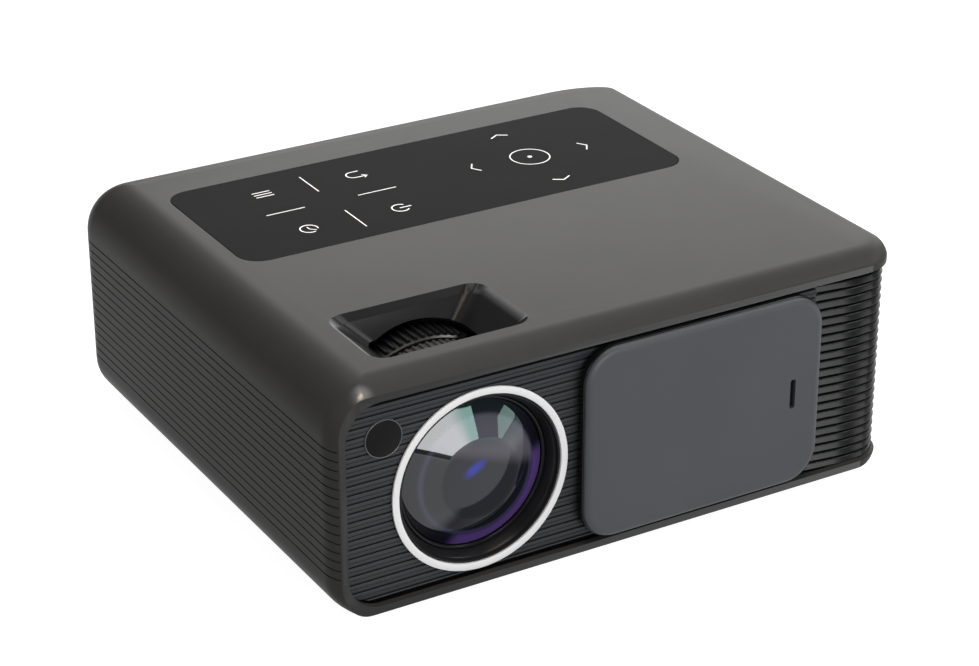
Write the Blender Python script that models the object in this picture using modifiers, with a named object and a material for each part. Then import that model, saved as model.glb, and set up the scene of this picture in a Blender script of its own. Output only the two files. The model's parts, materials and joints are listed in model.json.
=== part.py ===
"""Home video projector, in metres. +Z is up, the front faces -Y, and the origin is at the bottom centre."""

import math

import bmesh
import bpy
from mathutils import Matrix, Vector

# Driving sizes of the whole object
BODY_WIDTH = 0.222
BODY_DEPTH = 0.205
BODY_HEIGHT = 0.0822
FOOT_HEIGHT = 0.004
CAP_PROUD = 0.003
LENS_FROM_LEFT = 0.0548
LENS_FROM_BOTTOM = 0.0372
WALL = 0.0022
TOP_WALL = 0.0026
FLOOR_WALL = 0.0012
GAP = 0.0003
OVERRUN = 0.004
RIB_PITCH = 0.00327
MERGE = 0.00001
WELD = 0.000001
MITRE = math.tan(math.radians(22.5))

# Roundings of the shell: of its top and low edges on each side, and of its plan's corners
TOP_ROUNDS = {"left": 0.0175, "right": 0.0044, "back": 0.0205, "front": 0.01225}
LOW_ROUNDS = {"left": 0.0135, "right": 0.0034, "back": 0.0040, "front": 0.0010}
BACK_LEFT_ROUND = 0.0175
BACK_RIGHT_ROUND = 0.0245
FRONT_RIGHT_ROUND = 0.0150
FRONT_ROLL = TOP_ROUNDS["front"]
ROLL_CUT = 0.0047
LEAST_ROUND = 0.0006
TOP_LEVELS = 8
LOW_LEVELS = 5
CORNER_STEPS = 7

# The front rim and its opening
LIP_DEPTH = 0.00245
LEFT_LIP = 0.005
TOP_LIP = 0.0051
LOW_LIP = 0.0026
OPENING_ROUND = 0.0125

# Where the outside lies
X_LEFT = -BODY_WIDTH / 2
X_RIGHT = BODY_WIDTH / 2
Y_CAP = -(BODY_DEPTH + CAP_PROUD) / 2
Y_RIM = Y_CAP + CAP_PROUD
Y_BACK = (BODY_DEPTH + CAP_PROUD) / 2
Z_LOW = FOOT_HEIGHT
Z_TOP = FOOT_HEIGHT + BODY_HEIGHT
LENS_X = X_LEFT + LENS_FROM_LEFT
LENS_Z = Z_LOW + LENS_FROM_BOTTOM
Y_LIP = Y_RIM + LIP_DEPTH
OPENING_LOW = Z_LOW + LOW_LIP
OPENING_TOP = Z_TOP - TOP_LIP
OPENING_LEFT = X_LEFT + LEFT_LIP

# The ribbed front panel
PANEL = {"depth": 0.0030, "groove": 0.0010, "behind_lip": 0.0008, "round": 0.0110, "channel": 0.0036}
LOW_CHANNEL = 0.0015
RIB_SHARES = ((0.05, 0.0), (0.62, 0.0), (0.72, 1.0), (0.98, 1.0))
Y_PANEL = Y_LIP + GAP
Y_PANEL_BACK = Y_PANEL + PANEL["depth"]
PANEL_LEFT = OPENING_LEFT - PANEL["behind_lip"]
PANEL_LOW = OPENING_LOW + LOW_CHANNEL
PANEL_TOP = OPENING_TOP - PANEL["channel"]

# The sliding lens cap
CAP = {
    "width": 0.0954, "over_top": 0.0014, "over_ring": 0.0005, "round": 0.0127, "edge": 0.0022,
}
CAP_HOOK = {
    "width": 0.010, "neck": 0.0008, "toe": 0.0022, "thick": 0.0012, "from_end": 0.014, "clear": 0.0003,
}
CAP_GRIP = {"width": 0.0018, "height": 0.0107, "depth": 0.0012, "from_right": 0.0101}

# The lens: trim ring, barrel, rings and glass
TRIM = {"radius": 0.0327, "inner": 0.0302, "proud": 0.0010, "skirt": 0.0010}
BARREL = {
    "wall": 0.0024, "behind_rings": 0.0033, "bevel": 0.0045, "mouth": 0.0005, "flange": 0.0035,
    "flange_thick": 0.003,
}
FOCUS = {"radius": 0.0345, "width": 0.0095, "ridge": 0.0007, "ridges": 60}
RIDGE_SHARES = ((0.0, 0.0), (0.3, 1.0), (0.5, 1.0), (0.8, 0.0))
PLAIN_BELOW_SHARE = -0.2
KEYSTONE = {"radius": 0.0362, "plain": 0.0340, "width": 0.0116, "ridge": 0.0012, "ridges": 48}
CELL = {"wall": 0.0010, "length": 0.031, "setback": 0.0005}
FRONT_GLASS = {"edge": 0.0030, "bulge": 0.0058, "seat": 0.0012, "sunk": 0.0010}
REAR_GLASS = {"edge": 0.0030, "bulge": 0.0036}
RINGS_BEHIND_PANEL = 0.0258
RING_GAP = 0.0008
TURN_STEPS = 48

# The infrared window
IR = {
    "radius": 0.0063, "from_left": 0.0197, "over_bottom": 0.0613, "proud": 0.0004,
    "thick": 0.0026, "edge": 0.0004,
}
IR_BOARD = {"rim": 0.0012, "thick": 0.0015}

# The focus well in the top
WELL = {"length": 0.0599, "width": 0.0374, "from_left": 0.0225, "from_rim": 0.0145, "round": 0.0065}
WELL_SIDE = {
    "depth": 0.0120, "wall": 0.0015, "end": 0.0150, "front": 0.0030, "back": 0.0074,
    "ring_clear": 0.0018,
}

# The touch panel
TOUCH = {"length": 0.179, "width": 0.069, "from_back": 0.035, "round": 0.0085, "thick": 0.0010}
TOUCH_BOARD = {"length": 0.150, "width": 0.050, "thick": 0.0016}

# The fin grille round the right front corner
GRILLE = {
    "front": 0.0350, "side_back": 0.046, "round": 0.0115, "depth": 0.0045, "fin": 0.0017,
    "post": 0.0030,
}
GRILLE_POST_SHARES = (0.02, 0.20, 0.42, 0.62, 0.80, 0.98)

# Fine grooves on the left side
GROOVE = {"height": 0.0005, "depth": 0.0005, "low": 0.0161, "count": 15, "from_rim": 0.0004}

# The bottom plate and the rear panel
BASE = {"side": 0.0200, "right": 0.0140, "front": 0.0120, "back": 0.0160, "thick": 0.0016, "round": 0.006}
REAR = {"side": 0.0260, "right": 0.0300, "low": 0.0080, "height": 0.0500, "thick": 0.0020, "round": 0.005}

# The optical engine
ENGINE = {"width": 0.0640, "wall": 0.0020, "over_base": 0.0010, "height": 0.0660, "lid": 0.0020}
ENGINE_ARM_SHARE = 0.495
ENGINE_CORNER_SHARE = 0.36
MIRROR = {"size": 0.0560, "thick": 0.0020}
MIRROR_SET_SHARE = 0.30
CARRIER = {"size": 0.0500, "bar": 0.0050, "thick": 0.0040, "pin": 0.0016}
LCD = {"thick": 0.0016}
FIELD_LENS = {"size": 0.0540, "thick": 0.0020}
CONDENSER = {"radius": 0.0250, "dome": 0.0230, "bulge": 0.0070, "edge": 0.0020}
OPTIC_SPOT_SHARES = {
    "near_field": 0.10, "carrier": 0.28, "far_field": 0.46, "heat_glass": 0.64,
    "condenser": 0.80,
}

# The light source and its cooling
LED = {"size": 0.0400, "thick": 0.0020, "chip": 0.0150, "chip_thick": 0.0015}
SINK = {"size": 0.0600, "base": 0.0040, "depth": 0.0200, "fins": 11, "fin": 0.0014}
FAN = {
    "size": 0.0600, "depth": 0.0120, "hole": 0.0280, "hub": 0.0110, "round": 0.0030, "blade_clear": 0.0010,
    "blade": 0.0012,
}
FAN_BLADES = 7
BLADE_SHARE = 0.62
BLADE_ROOT_SHARE = 0.8
INTAKE_SLOTS = 9
REAR_VENT = {"rows": 5, "reach": 0.050, "from_top": 0.006}
BLADE_PITCH = 0.62
STRUT = {"width": 0.0025, "thick": 0.0015}

# Boards, sockets and loudspeakers
BOARD_CLEAR = 0.0030
MAIN_BOARD = {"thick": 0.0016, "over_base": 0.0080, "from_rear_panel": 0.0030, "from_inlet": 0.0040}
POWER_BOARD = {
    "thick": 0.0016, "over_base": 0.0060, "from_main": 0.0040, "from_right": 0.0150,
    "from_rear": 0.0100,
}
BOSS = {"radius": 0.0030}
BOSS_SPOT_SHARE = 0.15
HDMI = {
    "width": 0.0150, "height": 0.0060, "depth": 0.0120, "wall": 0.0007, "tongue": 0.0010,
    "drop": 0.0012,
}
USB = {"width": 0.0134, "height": 0.0062, "depth": 0.0140, "wall": 0.0006, "tongue": 0.0018, "drop": 0.0004}
JACK = {"radius": 0.0035, "hole": 0.0018, "width": 0.0080, "depth": 0.0120, "bore": 0.0100}
INLET = {
    "width": 0.0230, "height": 0.0130, "depth": 0.0160, "wall": 0.0016, "round": 0.0024,
    "pin": 0.0012, "pitch": 0.0086,
}
SOCKET_ROW = (
    ("hdmi_a", HDMI), ("hdmi_b", HDMI), ("usb_a", USB), ("usb_b", USB), ("av_jack", JACK),
    ("audio_jack", JACK),
)
SPEAKER = {"size": 0.0400, "depth": 0.0160, "rim": 0.0025, "cone": 0.0165, "sunk": 0.0020, "magnet": 0.0132}
SPEAKER_PLACE = {"from_fins": 0.0040, "from_rim": 0.0500}

# Feet
RUBBER_FOOT = {"radius": 0.0060, "edge": 0.0008, "inset": 0.0130}
SCREW_FOOT = {"radius": 0.0080, "stem": 0.0030, "pad": 0.0019, "lift": 0.0004, "length": 0.0160}
SCREW_HEAD = {"radius": 0.0064, "thick": 0.0010, "pin": 0.0018}
INSERT = {"radius": 0.0050, "height": 0.0090}

# Finishes: colour, roughness and metal
FINISHES = {
    "shell_plastic": ((0.105, 0.105, 0.103), 0.42, 0.0),
    "panel_plastic": ((0.032, 0.034, 0.038), 0.45, 0.0),
    "gloss_plastic": ((0.016, 0.017, 0.018), 0.18, 0.0),
    "cap_plastic": ((0.070, 0.074, 0.080), 0.45, 0.0),
    "trim": ((0.72, 0.73, 0.75), 0.35, 0.0),
    "black_plastic": ((0.012, 0.012, 0.013), 0.35, 0.0),
    "touch_glass": ((0.030, 0.030, 0.031), 0.25, 0.0),
    "glass": ((0.55, 0.62, 0.85), 0.03, 0.0),
    "mirror_glass": ((0.85, 0.87, 0.88), 0.05, 1.0),
    "board": ((0.02, 0.10, 0.05), 0.5, 0.0),
    "aluminium": ((0.62, 0.63, 0.64), 0.35, 1.0),
    "steel": ((0.55, 0.55, 0.56), 0.3, 1.0),
    "brass": ((0.70, 0.52, 0.22), 0.3, 1.0),
    "rubber": ((0.02, 0.02, 0.02), 0.8, 0.0),
    "led_yellow": ((0.80, 0.62, 0.12), 0.4, 0.0),
}

for old in list(bpy.data.objects):
    bpy.data.objects.remove(old, do_unlink=True)

parts = bpy.data.collections.new("projector")
cutters = bpy.data.collections.new("cutters")
bpy.context.scene.collection.children.link(parts)
bpy.context.scene.collection.children.link(cutters)
cutters.hide_render = True
materials = {}


def finish(obj, name):
    if name not in materials:
        colour, roughness, metal = FINISHES[name]
        material = bpy.data.materials.new(name)
        material.use_nodes = True
        shader = material.node_tree.nodes["Principled BSDF"]
        shader.inputs["Base Color"].default_value = (*colour, 1.0)
        shader.inputs["Roughness"].default_value = roughness
        shader.inputs["Metallic"].default_value = metal
        materials[name] = material
    obj.data.materials.clear()
    obj.data.materials.append(materials[name])


def add_object(name, mesh, finish_name=None):
    """A mesh becomes a part when it has a finish, and a hidden cutter when it has none."""
    obj = bpy.data.objects.new(name, mesh)
    if finish_name:
        parts.objects.link(obj)
        finish(obj, finish_name)
    else:
        cutters.objects.link(obj)
        obj.hide_render = True
        obj.display_type = "WIRE"
    mesh.shade_smooth()
    mesh.set_sharp_from_angle(angle=math.radians(32))
    return obj


def boolean(obj, other, operation="DIFFERENCE"):
    modifier = obj.modifiers.new(operation.lower(), "BOOLEAN")
    modifier.operation = operation
    modifier.object = other
    return obj


def set_origin(obj, point):
    """Moves the origin to a point and leaves the shape where it is."""
    shift = Vector(point) - obj.location
    obj.data.transform(Matrix.Translation(-shift))
    obj.location = point
    return obj


def block(name, x, y, z, finish_name=None, rounds=None, segments=6):
    """A box between pairs of coordinates. rounds gives the edges along an axis a radius, as {"x": radius}."""
    bm = bmesh.new()
    bmesh.ops.create_cube(bm, size=1.0)
    bmesh.ops.scale(bm, vec=(x[1] - x[0], y[1] - y[0], z[1] - z[0]), verts=bm.verts)
    bmesh.ops.translate(bm, vec=((x[0] + x[1]) / 2, (y[0] + y[1]) / 2, (z[0] + z[1]) / 2), verts=bm.verts)
    for axis, radius in (rounds or {}).items():
        index = "xyz".index(axis)
        edges = [e for e in bm.edges if abs((e.verts[0].co - e.verts[1].co).normalized()[index]) > 0.99]
        bmesh.ops.bevel(bm, geom=edges, offset=radius, segments=segments, profile=0.5, affect="EDGES")
    mesh = bpy.data.meshes.new(name)
    bm.to_mesh(mesh)
    bm.free()
    return add_object(name, mesh, finish_name)


def cylinder(name, centre, radius, low, high, axis, finish_name=None, steps=TURN_STEPS):
    """A cylinder along an axis between two heights; centre holds its other two coordinates."""
    bm = bmesh.new()
    bmesh.ops.create_cone(
        bm, cap_ends=True, segments=steps, radius1=radius, radius2=radius, depth=high - low
    )
    bm.transform(ORIENT[axis])
    middle = (low + high) / 2
    places = {
        "X": (middle, centre[0], centre[1]),
        "Y": (centre[0], middle, centre[1]),
        "Z": (centre[0], centre[1], middle),
    }
    mesh = bpy.data.meshes.new(name)
    bm.to_mesh(mesh)
    bm.free()
    obj = add_object(name, mesh, finish_name)
    obj.location = places[axis]
    return obj


# An outline's two coordinates are the other two world axes in order, and its depth is along the named axis
ORIENT = {
    "X": Matrix(((0, 0, 1, 0), (1, 0, 0, 0), (0, 1, 0, 0), (0, 0, 0, 1))),
    "Y": Matrix(((1, 0, 0, 0), (0, 0, -1, 0), (0, 1, 0, 0), (0, 0, 0, 1))),
    "Z": Matrix.Identity(4),
}


def flat(name, outlines, low, high, axis, finish_name=None):
    """Outlines filled as a 2D curve and drawn out from low to high. An outline inside the first is a hole."""
    curve = bpy.data.curves.new(name, "CURVE")
    curve.dimensions = "2D"
    curve.fill_mode = "BOTH"
    curve.extrude = (high - low) / 2
    for outline in outlines:
        spline = curve.splines.new("POLY")
        spline.points.add(len(outline) - 1)
        for point, (a, b) in zip(spline.points, outline):
            point.co = (a, b, 0.0, 1.0)
        spline.use_cyclic_u = True
    guide = bpy.data.objects.new(name + "_guide", curve)
    bpy.context.scene.collection.objects.link(guide)
    graph = bpy.context.evaluated_depsgraph_get()
    mesh = bpy.data.meshes.new_from_object(guide.evaluated_get(graph))
    bpy.data.objects.remove(guide, do_unlink=True)
    middle = -(low + high) / 2 if axis == "Y" else (low + high) / 2
    mesh.transform(ORIENT[axis] @ Matrix.Translation((0, 0, middle)))
    bm = bmesh.new()
    bm.from_mesh(mesh)
    bmesh.ops.remove_doubles(bm, verts=bm.verts, dist=WELD)
    bmesh.ops.recalc_face_normals(bm, faces=bm.faces)
    bm.to_mesh(mesh)
    bm.free()
    mesh.name = name
    return add_object(name, mesh, finish_name)


def arc(centre, radius, start, end, steps):
    """Points on an arc between two angles in degrees."""
    angles = [math.radians(start + (end - start) * i / steps) for i in range(steps + 1)]
    return [(centre[0] + radius * math.cos(a), centre[1] + radius * math.sin(a)) for a in angles]


def circle(centre, radius, steps=TURN_STEPS):
    return arc(centre, radius, 0, 360, steps)[:-1]


def rounded(x, y, radii, steps=6):
    """A rectangle with a radius for each corner, from the high corner round to the left."""
    corners = (
        (x[1], y[1], -1, -1, 0),
        (x[0], y[1], 1, -1, 90),
        (x[0], y[0], 1, 1, 180),
        (x[1], y[0], -1, 1, 270),
    )
    points = []
    for (cx, cy, dx, dy, start), radius in zip(corners, radii):
        if radius:
            points += arc((cx + dx * radius, cy + dy * radius), radius, start, start + 90, steps)
        else:
            points.append((cx, cy))
    return points


def turned(name, profile, place, finish_name=None, face="front", steps=TURN_STEPS):
    """A closed profile of radius and height turned round its axis. Height points to the front or up."""
    bm = bmesh.new()
    verts = [bm.verts.new((radius, 0.0, height)) for radius, height in profile]
    for first, second in zip(verts, verts[1:]):
        bm.edges.new((first, second))
    if profile[0][0] > 0 or profile[-1][0] > 0:
        bm.edges.new((verts[-1], verts[0]))
    mesh = bpy.data.meshes.new(name)
    bm.to_mesh(mesh)
    bm.free()
    obj = add_object(name, mesh, finish_name)
    screw = obj.modifiers.new("turn", "SCREW")
    screw.steps = steps
    screw.render_steps = steps
    screw.use_merge_vertices = True
    screw.merge_threshold = MERGE
    screw.use_smooth_shade = True
    obj.location = place
    if face == "front":
        obj.rotation_euler = (math.pi / 2, 0, 0)
    if face == "right":
        obj.rotation_euler = (0, math.pi / 2, 0)
    return obj


def side_insets(radii, depth):
    """How far each side has drawn in at a depth below the flat face that its rounding ends in."""
    return {side: r - math.sqrt(r**2 - max(0.0, r - depth) ** 2) for side, r in radii.items()}


def soft_body(name, shrink, floor, roof, finish_name=None):
    """The shell's outer form, or its hollow: level outlines joined, so each side has its own rounding."""
    top_radii = {side: max(r - shrink, LEAST_ROUND) for side, r in TOP_ROUNDS.items()}
    low_radii = {side: max(r - shrink, LEAST_ROUND) for side, r in LOW_ROUNDS.items()}
    low, high = Z_LOW + floor, Z_TOP - roof
    levels = []
    for step in range(LOW_LEVELS + 1):
        rise = max(low_radii.values()) * (1 - math.cos(math.pi / 2 * step / LOW_LEVELS))
        levels.append((low + rise, side_insets(low_radii, rise)))
    for step in range(TOP_LEVELS + 1):
        fall = max(top_radii.values()) * (1 - math.sin(math.pi / 2 * step / TOP_LEVELS))
        levels.append((high - fall, side_insets(top_radii, fall)))
    x0, x1 = X_LEFT + shrink, X_RIGHT - shrink
    y0, y1 = Y_RIM - ROLL_CUT + shrink, Y_BACK - shrink
    bm = bmesh.new()
    rings = []
    for z, inset in levels:
        rolled = max(ROLL_CUT, inset["front"])
        corners = (
            (x1, -1, inset["right"], y1, -1, inset["back"], BACK_RIGHT_ROUND),
            (x0, 1, inset["left"], y1, -1, inset["back"], BACK_LEFT_ROUND),
            (x0, 1, inset["left"], y0, 1, inset["front"], FRONT_ROLL),
            (x1, -1, inset["right"], y0, 1, rolled, FRONT_RIGHT_ROUND + ROLL_CUT),
        )
        ring = []
        for quarter, (cx, dx, in_x, cy, dy, in_y, radius) in enumerate(corners):
            wide = max(radius - ROLL_CUT * (quarter == 3) - shrink - in_x, LEAST_ROUND)
            deep = max(radius - shrink - in_y, LEAST_ROUND)
            middle_x, middle_y = cx + dx * (in_x + wide), cy + dy * (in_y + deep)
            for step in range(CORNER_STEPS + 1):
                angle = math.pi / 2 * (quarter + step / CORNER_STEPS)
                place = (middle_x + wide * math.cos(angle), middle_y + deep * math.sin(angle), z)
                ring.append(bm.verts.new(place))
        rings.append(ring)
    for lower, upper in zip(rings, rings[1:]):
        for index in range(len(lower)):
            after = (index + 1) % len(lower)
            bm.faces.new((lower[index], lower[after], upper[after], upper[index]))
    bm.faces.new(reversed(rings[0]))
    bm.faces.new(rings[-1])
    bmesh.ops.triangulate(bm, faces=bm.faces)
    mesh = bpy.data.meshes.new(name)
    bm.to_mesh(mesh)
    bm.free()
    return add_object(name, mesh, finish_name)


def shell():
    """The dark shell: a sleeve with its front rim, open below, behind and round the right front corner."""
    body = soft_body("top_shell", 0.0, 0.0, 0.0, "shell_plastic")
    wide = (X_LEFT - OVERRUN, X_RIGHT + OVERRUN)
    tall = (Z_LOW - OVERRUN, Z_TOP + OVERRUN)
    boolean(body, block("cut_front_plane", wide, (Y_RIM - ROLL_CUT - OVERRUN, Y_RIM), tall))
    hollow = soft_body("cut_hollow", WALL, FLOOR_WALL, TOP_WALL)
    boolean(hollow, block("cut_lip_keep", wide, (Y_RIM - ROLL_CUT - OVERRUN, Y_LIP), tall))
    boolean(body, hollow)
    across, upright = (OPENING_LEFT, X_RIGHT - BACK_RIGHT_ROUND), (OPENING_LOW, OPENING_TOP)
    opening = rounded(across, upright, (0, OPENING_ROUND, OPENING_ROUND, 0))
    boolean(body, flat("cut_opening", [opening], Y_RIM - OVERRUN, Y_LIP + OVERRUN, "Y"))
    side = ((GRILLE_LEFT, X_RIGHT + OVERRUN), (Y_RIM - OVERRUN, GRILLE_BACK), (OPENING_LOW, OPENING_TOP))
    boolean(body, block("cut_side_opening", *side))
    floor = block("cut_base", BASE_X, BASE_Y, (Z_LOW - OVERRUN, Z_LOW + OVERRUN), rounds={"z": BASE["round"]})
    boolean(body, floor)
    behind = (Y_BACK - OVERRUN, Y_BACK + OVERRUN)
    boolean(body, block("cut_rear", REAR_X, behind, REAR_Z, rounds={"y": REAR["round"]}))
    boolean(body, well_form("cut_well", 0.0, OVERRUN))
    sunk = block(
        "cut_touch",
        (TOUCH_X[0] - GAP, TOUCH_X[1] + GAP),
        (TOUCH_Y[0] - GAP, TOUCH_Y[1] + GAP),
        (Z_TOP - TOUCH["thick"] - GAP, Z_TOP + OVERRUN),
        rounds={"z": TOUCH["round"] + GAP},
    )
    boolean(body, sunk)
    grooves = groove_cutters()
    boolean(body, grooves)
    return body


def groove_cutters():
    """Thin frames round the left side and the back corner, as one cutter."""
    depth = GROOVE["depth"]
    x = (X_LEFT + depth, X_LEFT + BODY_WIDTH / 3)
    y = (Y_RIM + GROOVE["from_rim"], Y_BACK - depth)
    left, right, front, back = x[0], x[1], y[0], y[1]
    roll = FRONT_ROLL - depth
    corner = BACK_LEFT_ROUND - depth
    roll_y = Y_RIM - ROLL_CUT + FRONT_ROLL
    first = math.degrees(math.asin((roll_y - front) / roll))
    inner = arc((left + roll, roll_y), roll, 180 + first, 180, 4)
    inner += arc((left + corner, back - corner), corner, 180, 90, 6)
    clear_x, clear_y = X_LEFT - OVERRUN, Y_BACK + OVERRUN
    outer = [(left + corner, clear_y), (clear_x, clear_y), (clear_x, front)]
    low = Z_LOW + GROOVE["low"]
    rows = []
    for row in range(GROOVE["count"]):
        z = low + row * RIB_PITCH - GROOVE["height"] / 2
        rows.append(flat(f"groove_{row}", [inner + outer], z, z + GROOVE["height"], "Z"))
    cutter = rows[0]
    bm = bmesh.new()
    for row in rows:
        bm.from_mesh(row.data)
    bm.to_mesh(cutter.data)
    bm.free()
    for row in rows[1:]:
        bpy.data.objects.remove(row, do_unlink=True)
    cutter.name = "cut_grooves"
    return cutter


def base_plate():
    """The bottom plate with the bosses that carry the boards and the engine."""
    inside = ((BASE_X[0] + GAP, BASE_X[1] - GAP), (BASE_Y[0] + GAP, BASE_Y[1] - GAP), (Z_LOW, BASE_TOP))
    plate = block("base_plate", *inside, "black_plastic", rounds={"z": BASE["round"] - GAP})
    for index, (x, y, under) in enumerate(board_corners()):
        post = cylinder(f"boss_{index}", (x, y), BOSS["radius"], Z_LOW + GAP, under - GAP, "Z", steps=12)
        boolean(plate, post, "UNION")
    span = (Z_LOW - OVERRUN, BASE_TOP + OVERRUN)
    boolean(plate, cylinder("cut_foot", SCREW_FOOT_XY, INSERT["radius"] + GAP, *span, "Z", steps=24))
    reach = FAN["hole"]
    for row in range(INTAKE_SLOTS):
        x = INTAKE_XY[0] + (2 * (row + 0.5) / INTAKE_SLOTS - 1) * reach
        long = math.sqrt(reach**2 - (x - INTAKE_XY[0]) ** 2)
        half = reach / INTAKE_SLOTS / 2
        across, along = (x - half, x + half), (INTAKE_XY[1] - long, INTAKE_XY[1] + long)
        slot = block(f"cut_intake_{row}", across, along, span)
        boolean(plate, slot)
    return plate


def board_corners():
    """Where bosses stand, and the underside that each one carries."""
    corners = []
    arm = (ENGINE_X[0], ENGINE_X[0] + ENGINE["width"])
    lamp = (ENGINE_X[1] - ENGINE["width"] / 2, ENGINE_X[1])
    near, far = (ENGINE_Y[0], PATH_Y), (ENGINE_Y[1] - ENGINE["width"], ENGINE_Y[1])
    rests = (
        (MAIN_X, MAIN_Y, MAIN_Z),
        (POWER_X, POWER_Y, POWER_Z),
        (arm, near, ENGINE_LOW),
        (lamp, far, ENGINE_LOW),
    )
    for x, y, under in rests:
        spots = []
        for low, high, base in ((*x, BASE_X), (*y, BASE_Y)):
            start, end = max(low, base[0]), min(high, base[1])
            inset = BOSS_SPOT_SHARE * (end - start)
            spots.append((start + inset, end - inset))
        corners += [(a, b, under) for a in spots[0] for b in spots[1]]
    return corners


def rib_outline(low, high, crest, depth, back):
    """Points in Y and Z of a plate whose front has a groove in each pitch, in step with the grille's fins."""
    first = math.ceil((low - ROWS_LOW) / RIB_PITCH)
    last = int((high - ROWS_LOW) / RIB_PITCH)
    points = [(back, low), (crest, low)]
    for row in range(first, last):
        for along, sunk in RIB_SHARES:
            points.append((crest + depth * sunk, ROWS_LOW + (row + along) * RIB_PITCH))
    points += [(crest, high), (back, high)]
    return points


def front_panel():
    """The ribbed plate behind the rim. The cap's hooks run along its upper and lower edge."""
    ribs = rib_outline(PANEL_LOW, PANEL_TOP, Y_PANEL, PANEL["groove"], Y_PANEL_BACK)
    panel = flat("front_panel", [ribs], PANEL_LEFT, GRILLE_LEFT - GAP, "X", "panel_plastic")
    form = rounded(
        (PANEL_LEFT, GRILLE_LEFT + OVERRUN), (PANEL_LOW, PANEL_TOP), (0, PANEL["round"], PANEL["round"], 0)
    )
    boolean(panel, flat("keep_panel", [form], Y_PANEL - OVERRUN, Y_PANEL_BACK + OVERRUN, "Y"), "INTERSECT")
    hole = TRIM["inner"] + TRIM["skirt"] + GAP
    span = (Y_PANEL - OVERRUN, Y_PANEL_BACK + OVERRUN)
    boolean(panel, cylinder("cut_lens", (LENS_X, LENS_Z), hole, *span, "Y"))
    boolean(panel, cylinder("cut_ir", (IR_X, IR_Z), IR["radius"] + GAP, *span, "Y", steps=24))
    return panel


def trim_ring():
    """The light flat ring with the skirt that passes through the panel."""
    outer, inner, skirt = TRIM["radius"], TRIM["inner"], TRIM["inner"] + TRIM["skirt"]
    flange = TRIM["proud"] - GAP
    back = TRIM["proud"] + PANEL["depth"]
    profile = [(outer, 0.0), (outer, -flange), (skirt, -flange), (skirt, -back), (inner, -back), (inner, 0.0)]
    return turned("lens_trim_ring", profile, (LENS_X, Y_TRIM, LENS_Z), "trim")


def ir_window():
    """A dark round window, nearly flush with the ribs."""
    radius, edge, thick = IR["radius"], IR["edge"], IR["thick"]
    profile = [(0.0, 0.0), (radius - edge, 0.0), (radius, -edge), (radius, -thick), (0.0, -thick)]
    return turned("ir_window", profile, (IR_X, Y_IR, IR_Z), "gloss_plastic", steps=24)


def ir_receiver():
    """The receiver behind the window, on its small board, which stands off the panel on a lug."""
    front = Y_IR + IR["thick"] + GAP
    size, half = IR["radius"], IR["radius"] / 2
    board_front = front + half
    board_back = board_front + IR_BOARD["thick"]
    x, z = (IR_X - half, IR_X + half), (IR_Z - half, IR_Z + half)
    wide, tall = (IR_X - size - IR_BOARD["rim"], IR_X + size), (IR_Z - size, IR_Z + size)
    receiver = block("ir_receiver", x, (front, board_front + GAP), z, "black_plastic")
    boolean(receiver, block("ir_board", wide, (board_front, board_back), tall), "UNION")
    lug = block("ir_lug", (wide[0], wide[0] + IR_BOARD["rim"]), (Y_PANEL_BACK + GAP, board_front + GAP), tall)
    return boolean(receiver, lug, "UNION")


def lens_cap():
    """The sliding cap: a soft-edged slab with a grip slot, and hooks behind the panel's two long edges."""
    x, z = CAP_X, CAP_Z
    slab = block("lens_cap", x, (Y_CAP, Y_CAP_BACK), z, "cap_plastic", rounds={"y": CAP["round"]}, segments=8)
    bm = bmesh.new()
    bm.from_mesh(slab.data)
    front = [e for e in bm.edges if all(v.co.y < Y_CAP + GAP for v in e.verts)]
    bmesh.ops.bevel(bm, geom=front, offset=CAP["edge"], segments=4, profile=0.5, affect="EDGES")
    bm.to_mesh(slab.data)
    bm.free()
    slab.data.shade_smooth()
    slab.data.set_sharp_from_angle(angle=math.radians(32))
    starts = (x[0] + CAP_HOOK["from_end"], x[1] - CAP_HOOK["from_end"] - CAP_HOOK["width"])
    root_front = Y_CAP_BACK - CAP["edge"] / 2
    toe_front = Y_PANEL_BACK + CAP_HOOK["clear"]
    toe_back = toe_front + CAP_HOOK["thick"]
    for index, start in enumerate(starts):
        for edge, way in ((PANEL_TOP, 1), (PANEL_LOW, -1)):
            wide = (start, start + CAP_HOOK["width"])
            neck_near = edge + way * CAP_HOOK["clear"]
            neck_far = neck_near + way * CAP_HOOK["neck"]
            neck = sorted((neck_near, neck_far))
            reach = sorted((neck_far, edge - way * CAP_HOOK["toe"]))
            label = f"{index}_{way + 1}"
            boolean(slab, block("hook_root_" + label, wide, (root_front, Y_CAP_BACK), reach), "UNION")
            boolean(slab, block("hook_neck_" + label, wide, (Y_CAP_BACK - GAP, toe_back), neck), "UNION")
            boolean(slab, block("hook_toe_" + label, wide, (toe_front, toe_back), reach), "UNION")
    right = x[1] - CAP_GRIP["from_right"]
    middle = (z[0] + z[1]) / 2
    slot = block(
        "cut_grip",
        (right - CAP_GRIP["width"] / 2, right + CAP_GRIP["width"] / 2),
        (Y_CAP - OVERRUN, Y_CAP + CAP_GRIP["depth"]),
        (middle - CAP_GRIP["height"] / 2, middle + CAP_GRIP["height"] / 2),
    )
    boolean(slab, slot)
    return set_origin(slab, ((x[0] + x[1]) / 2, Y_CAP_BACK, middle))


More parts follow.
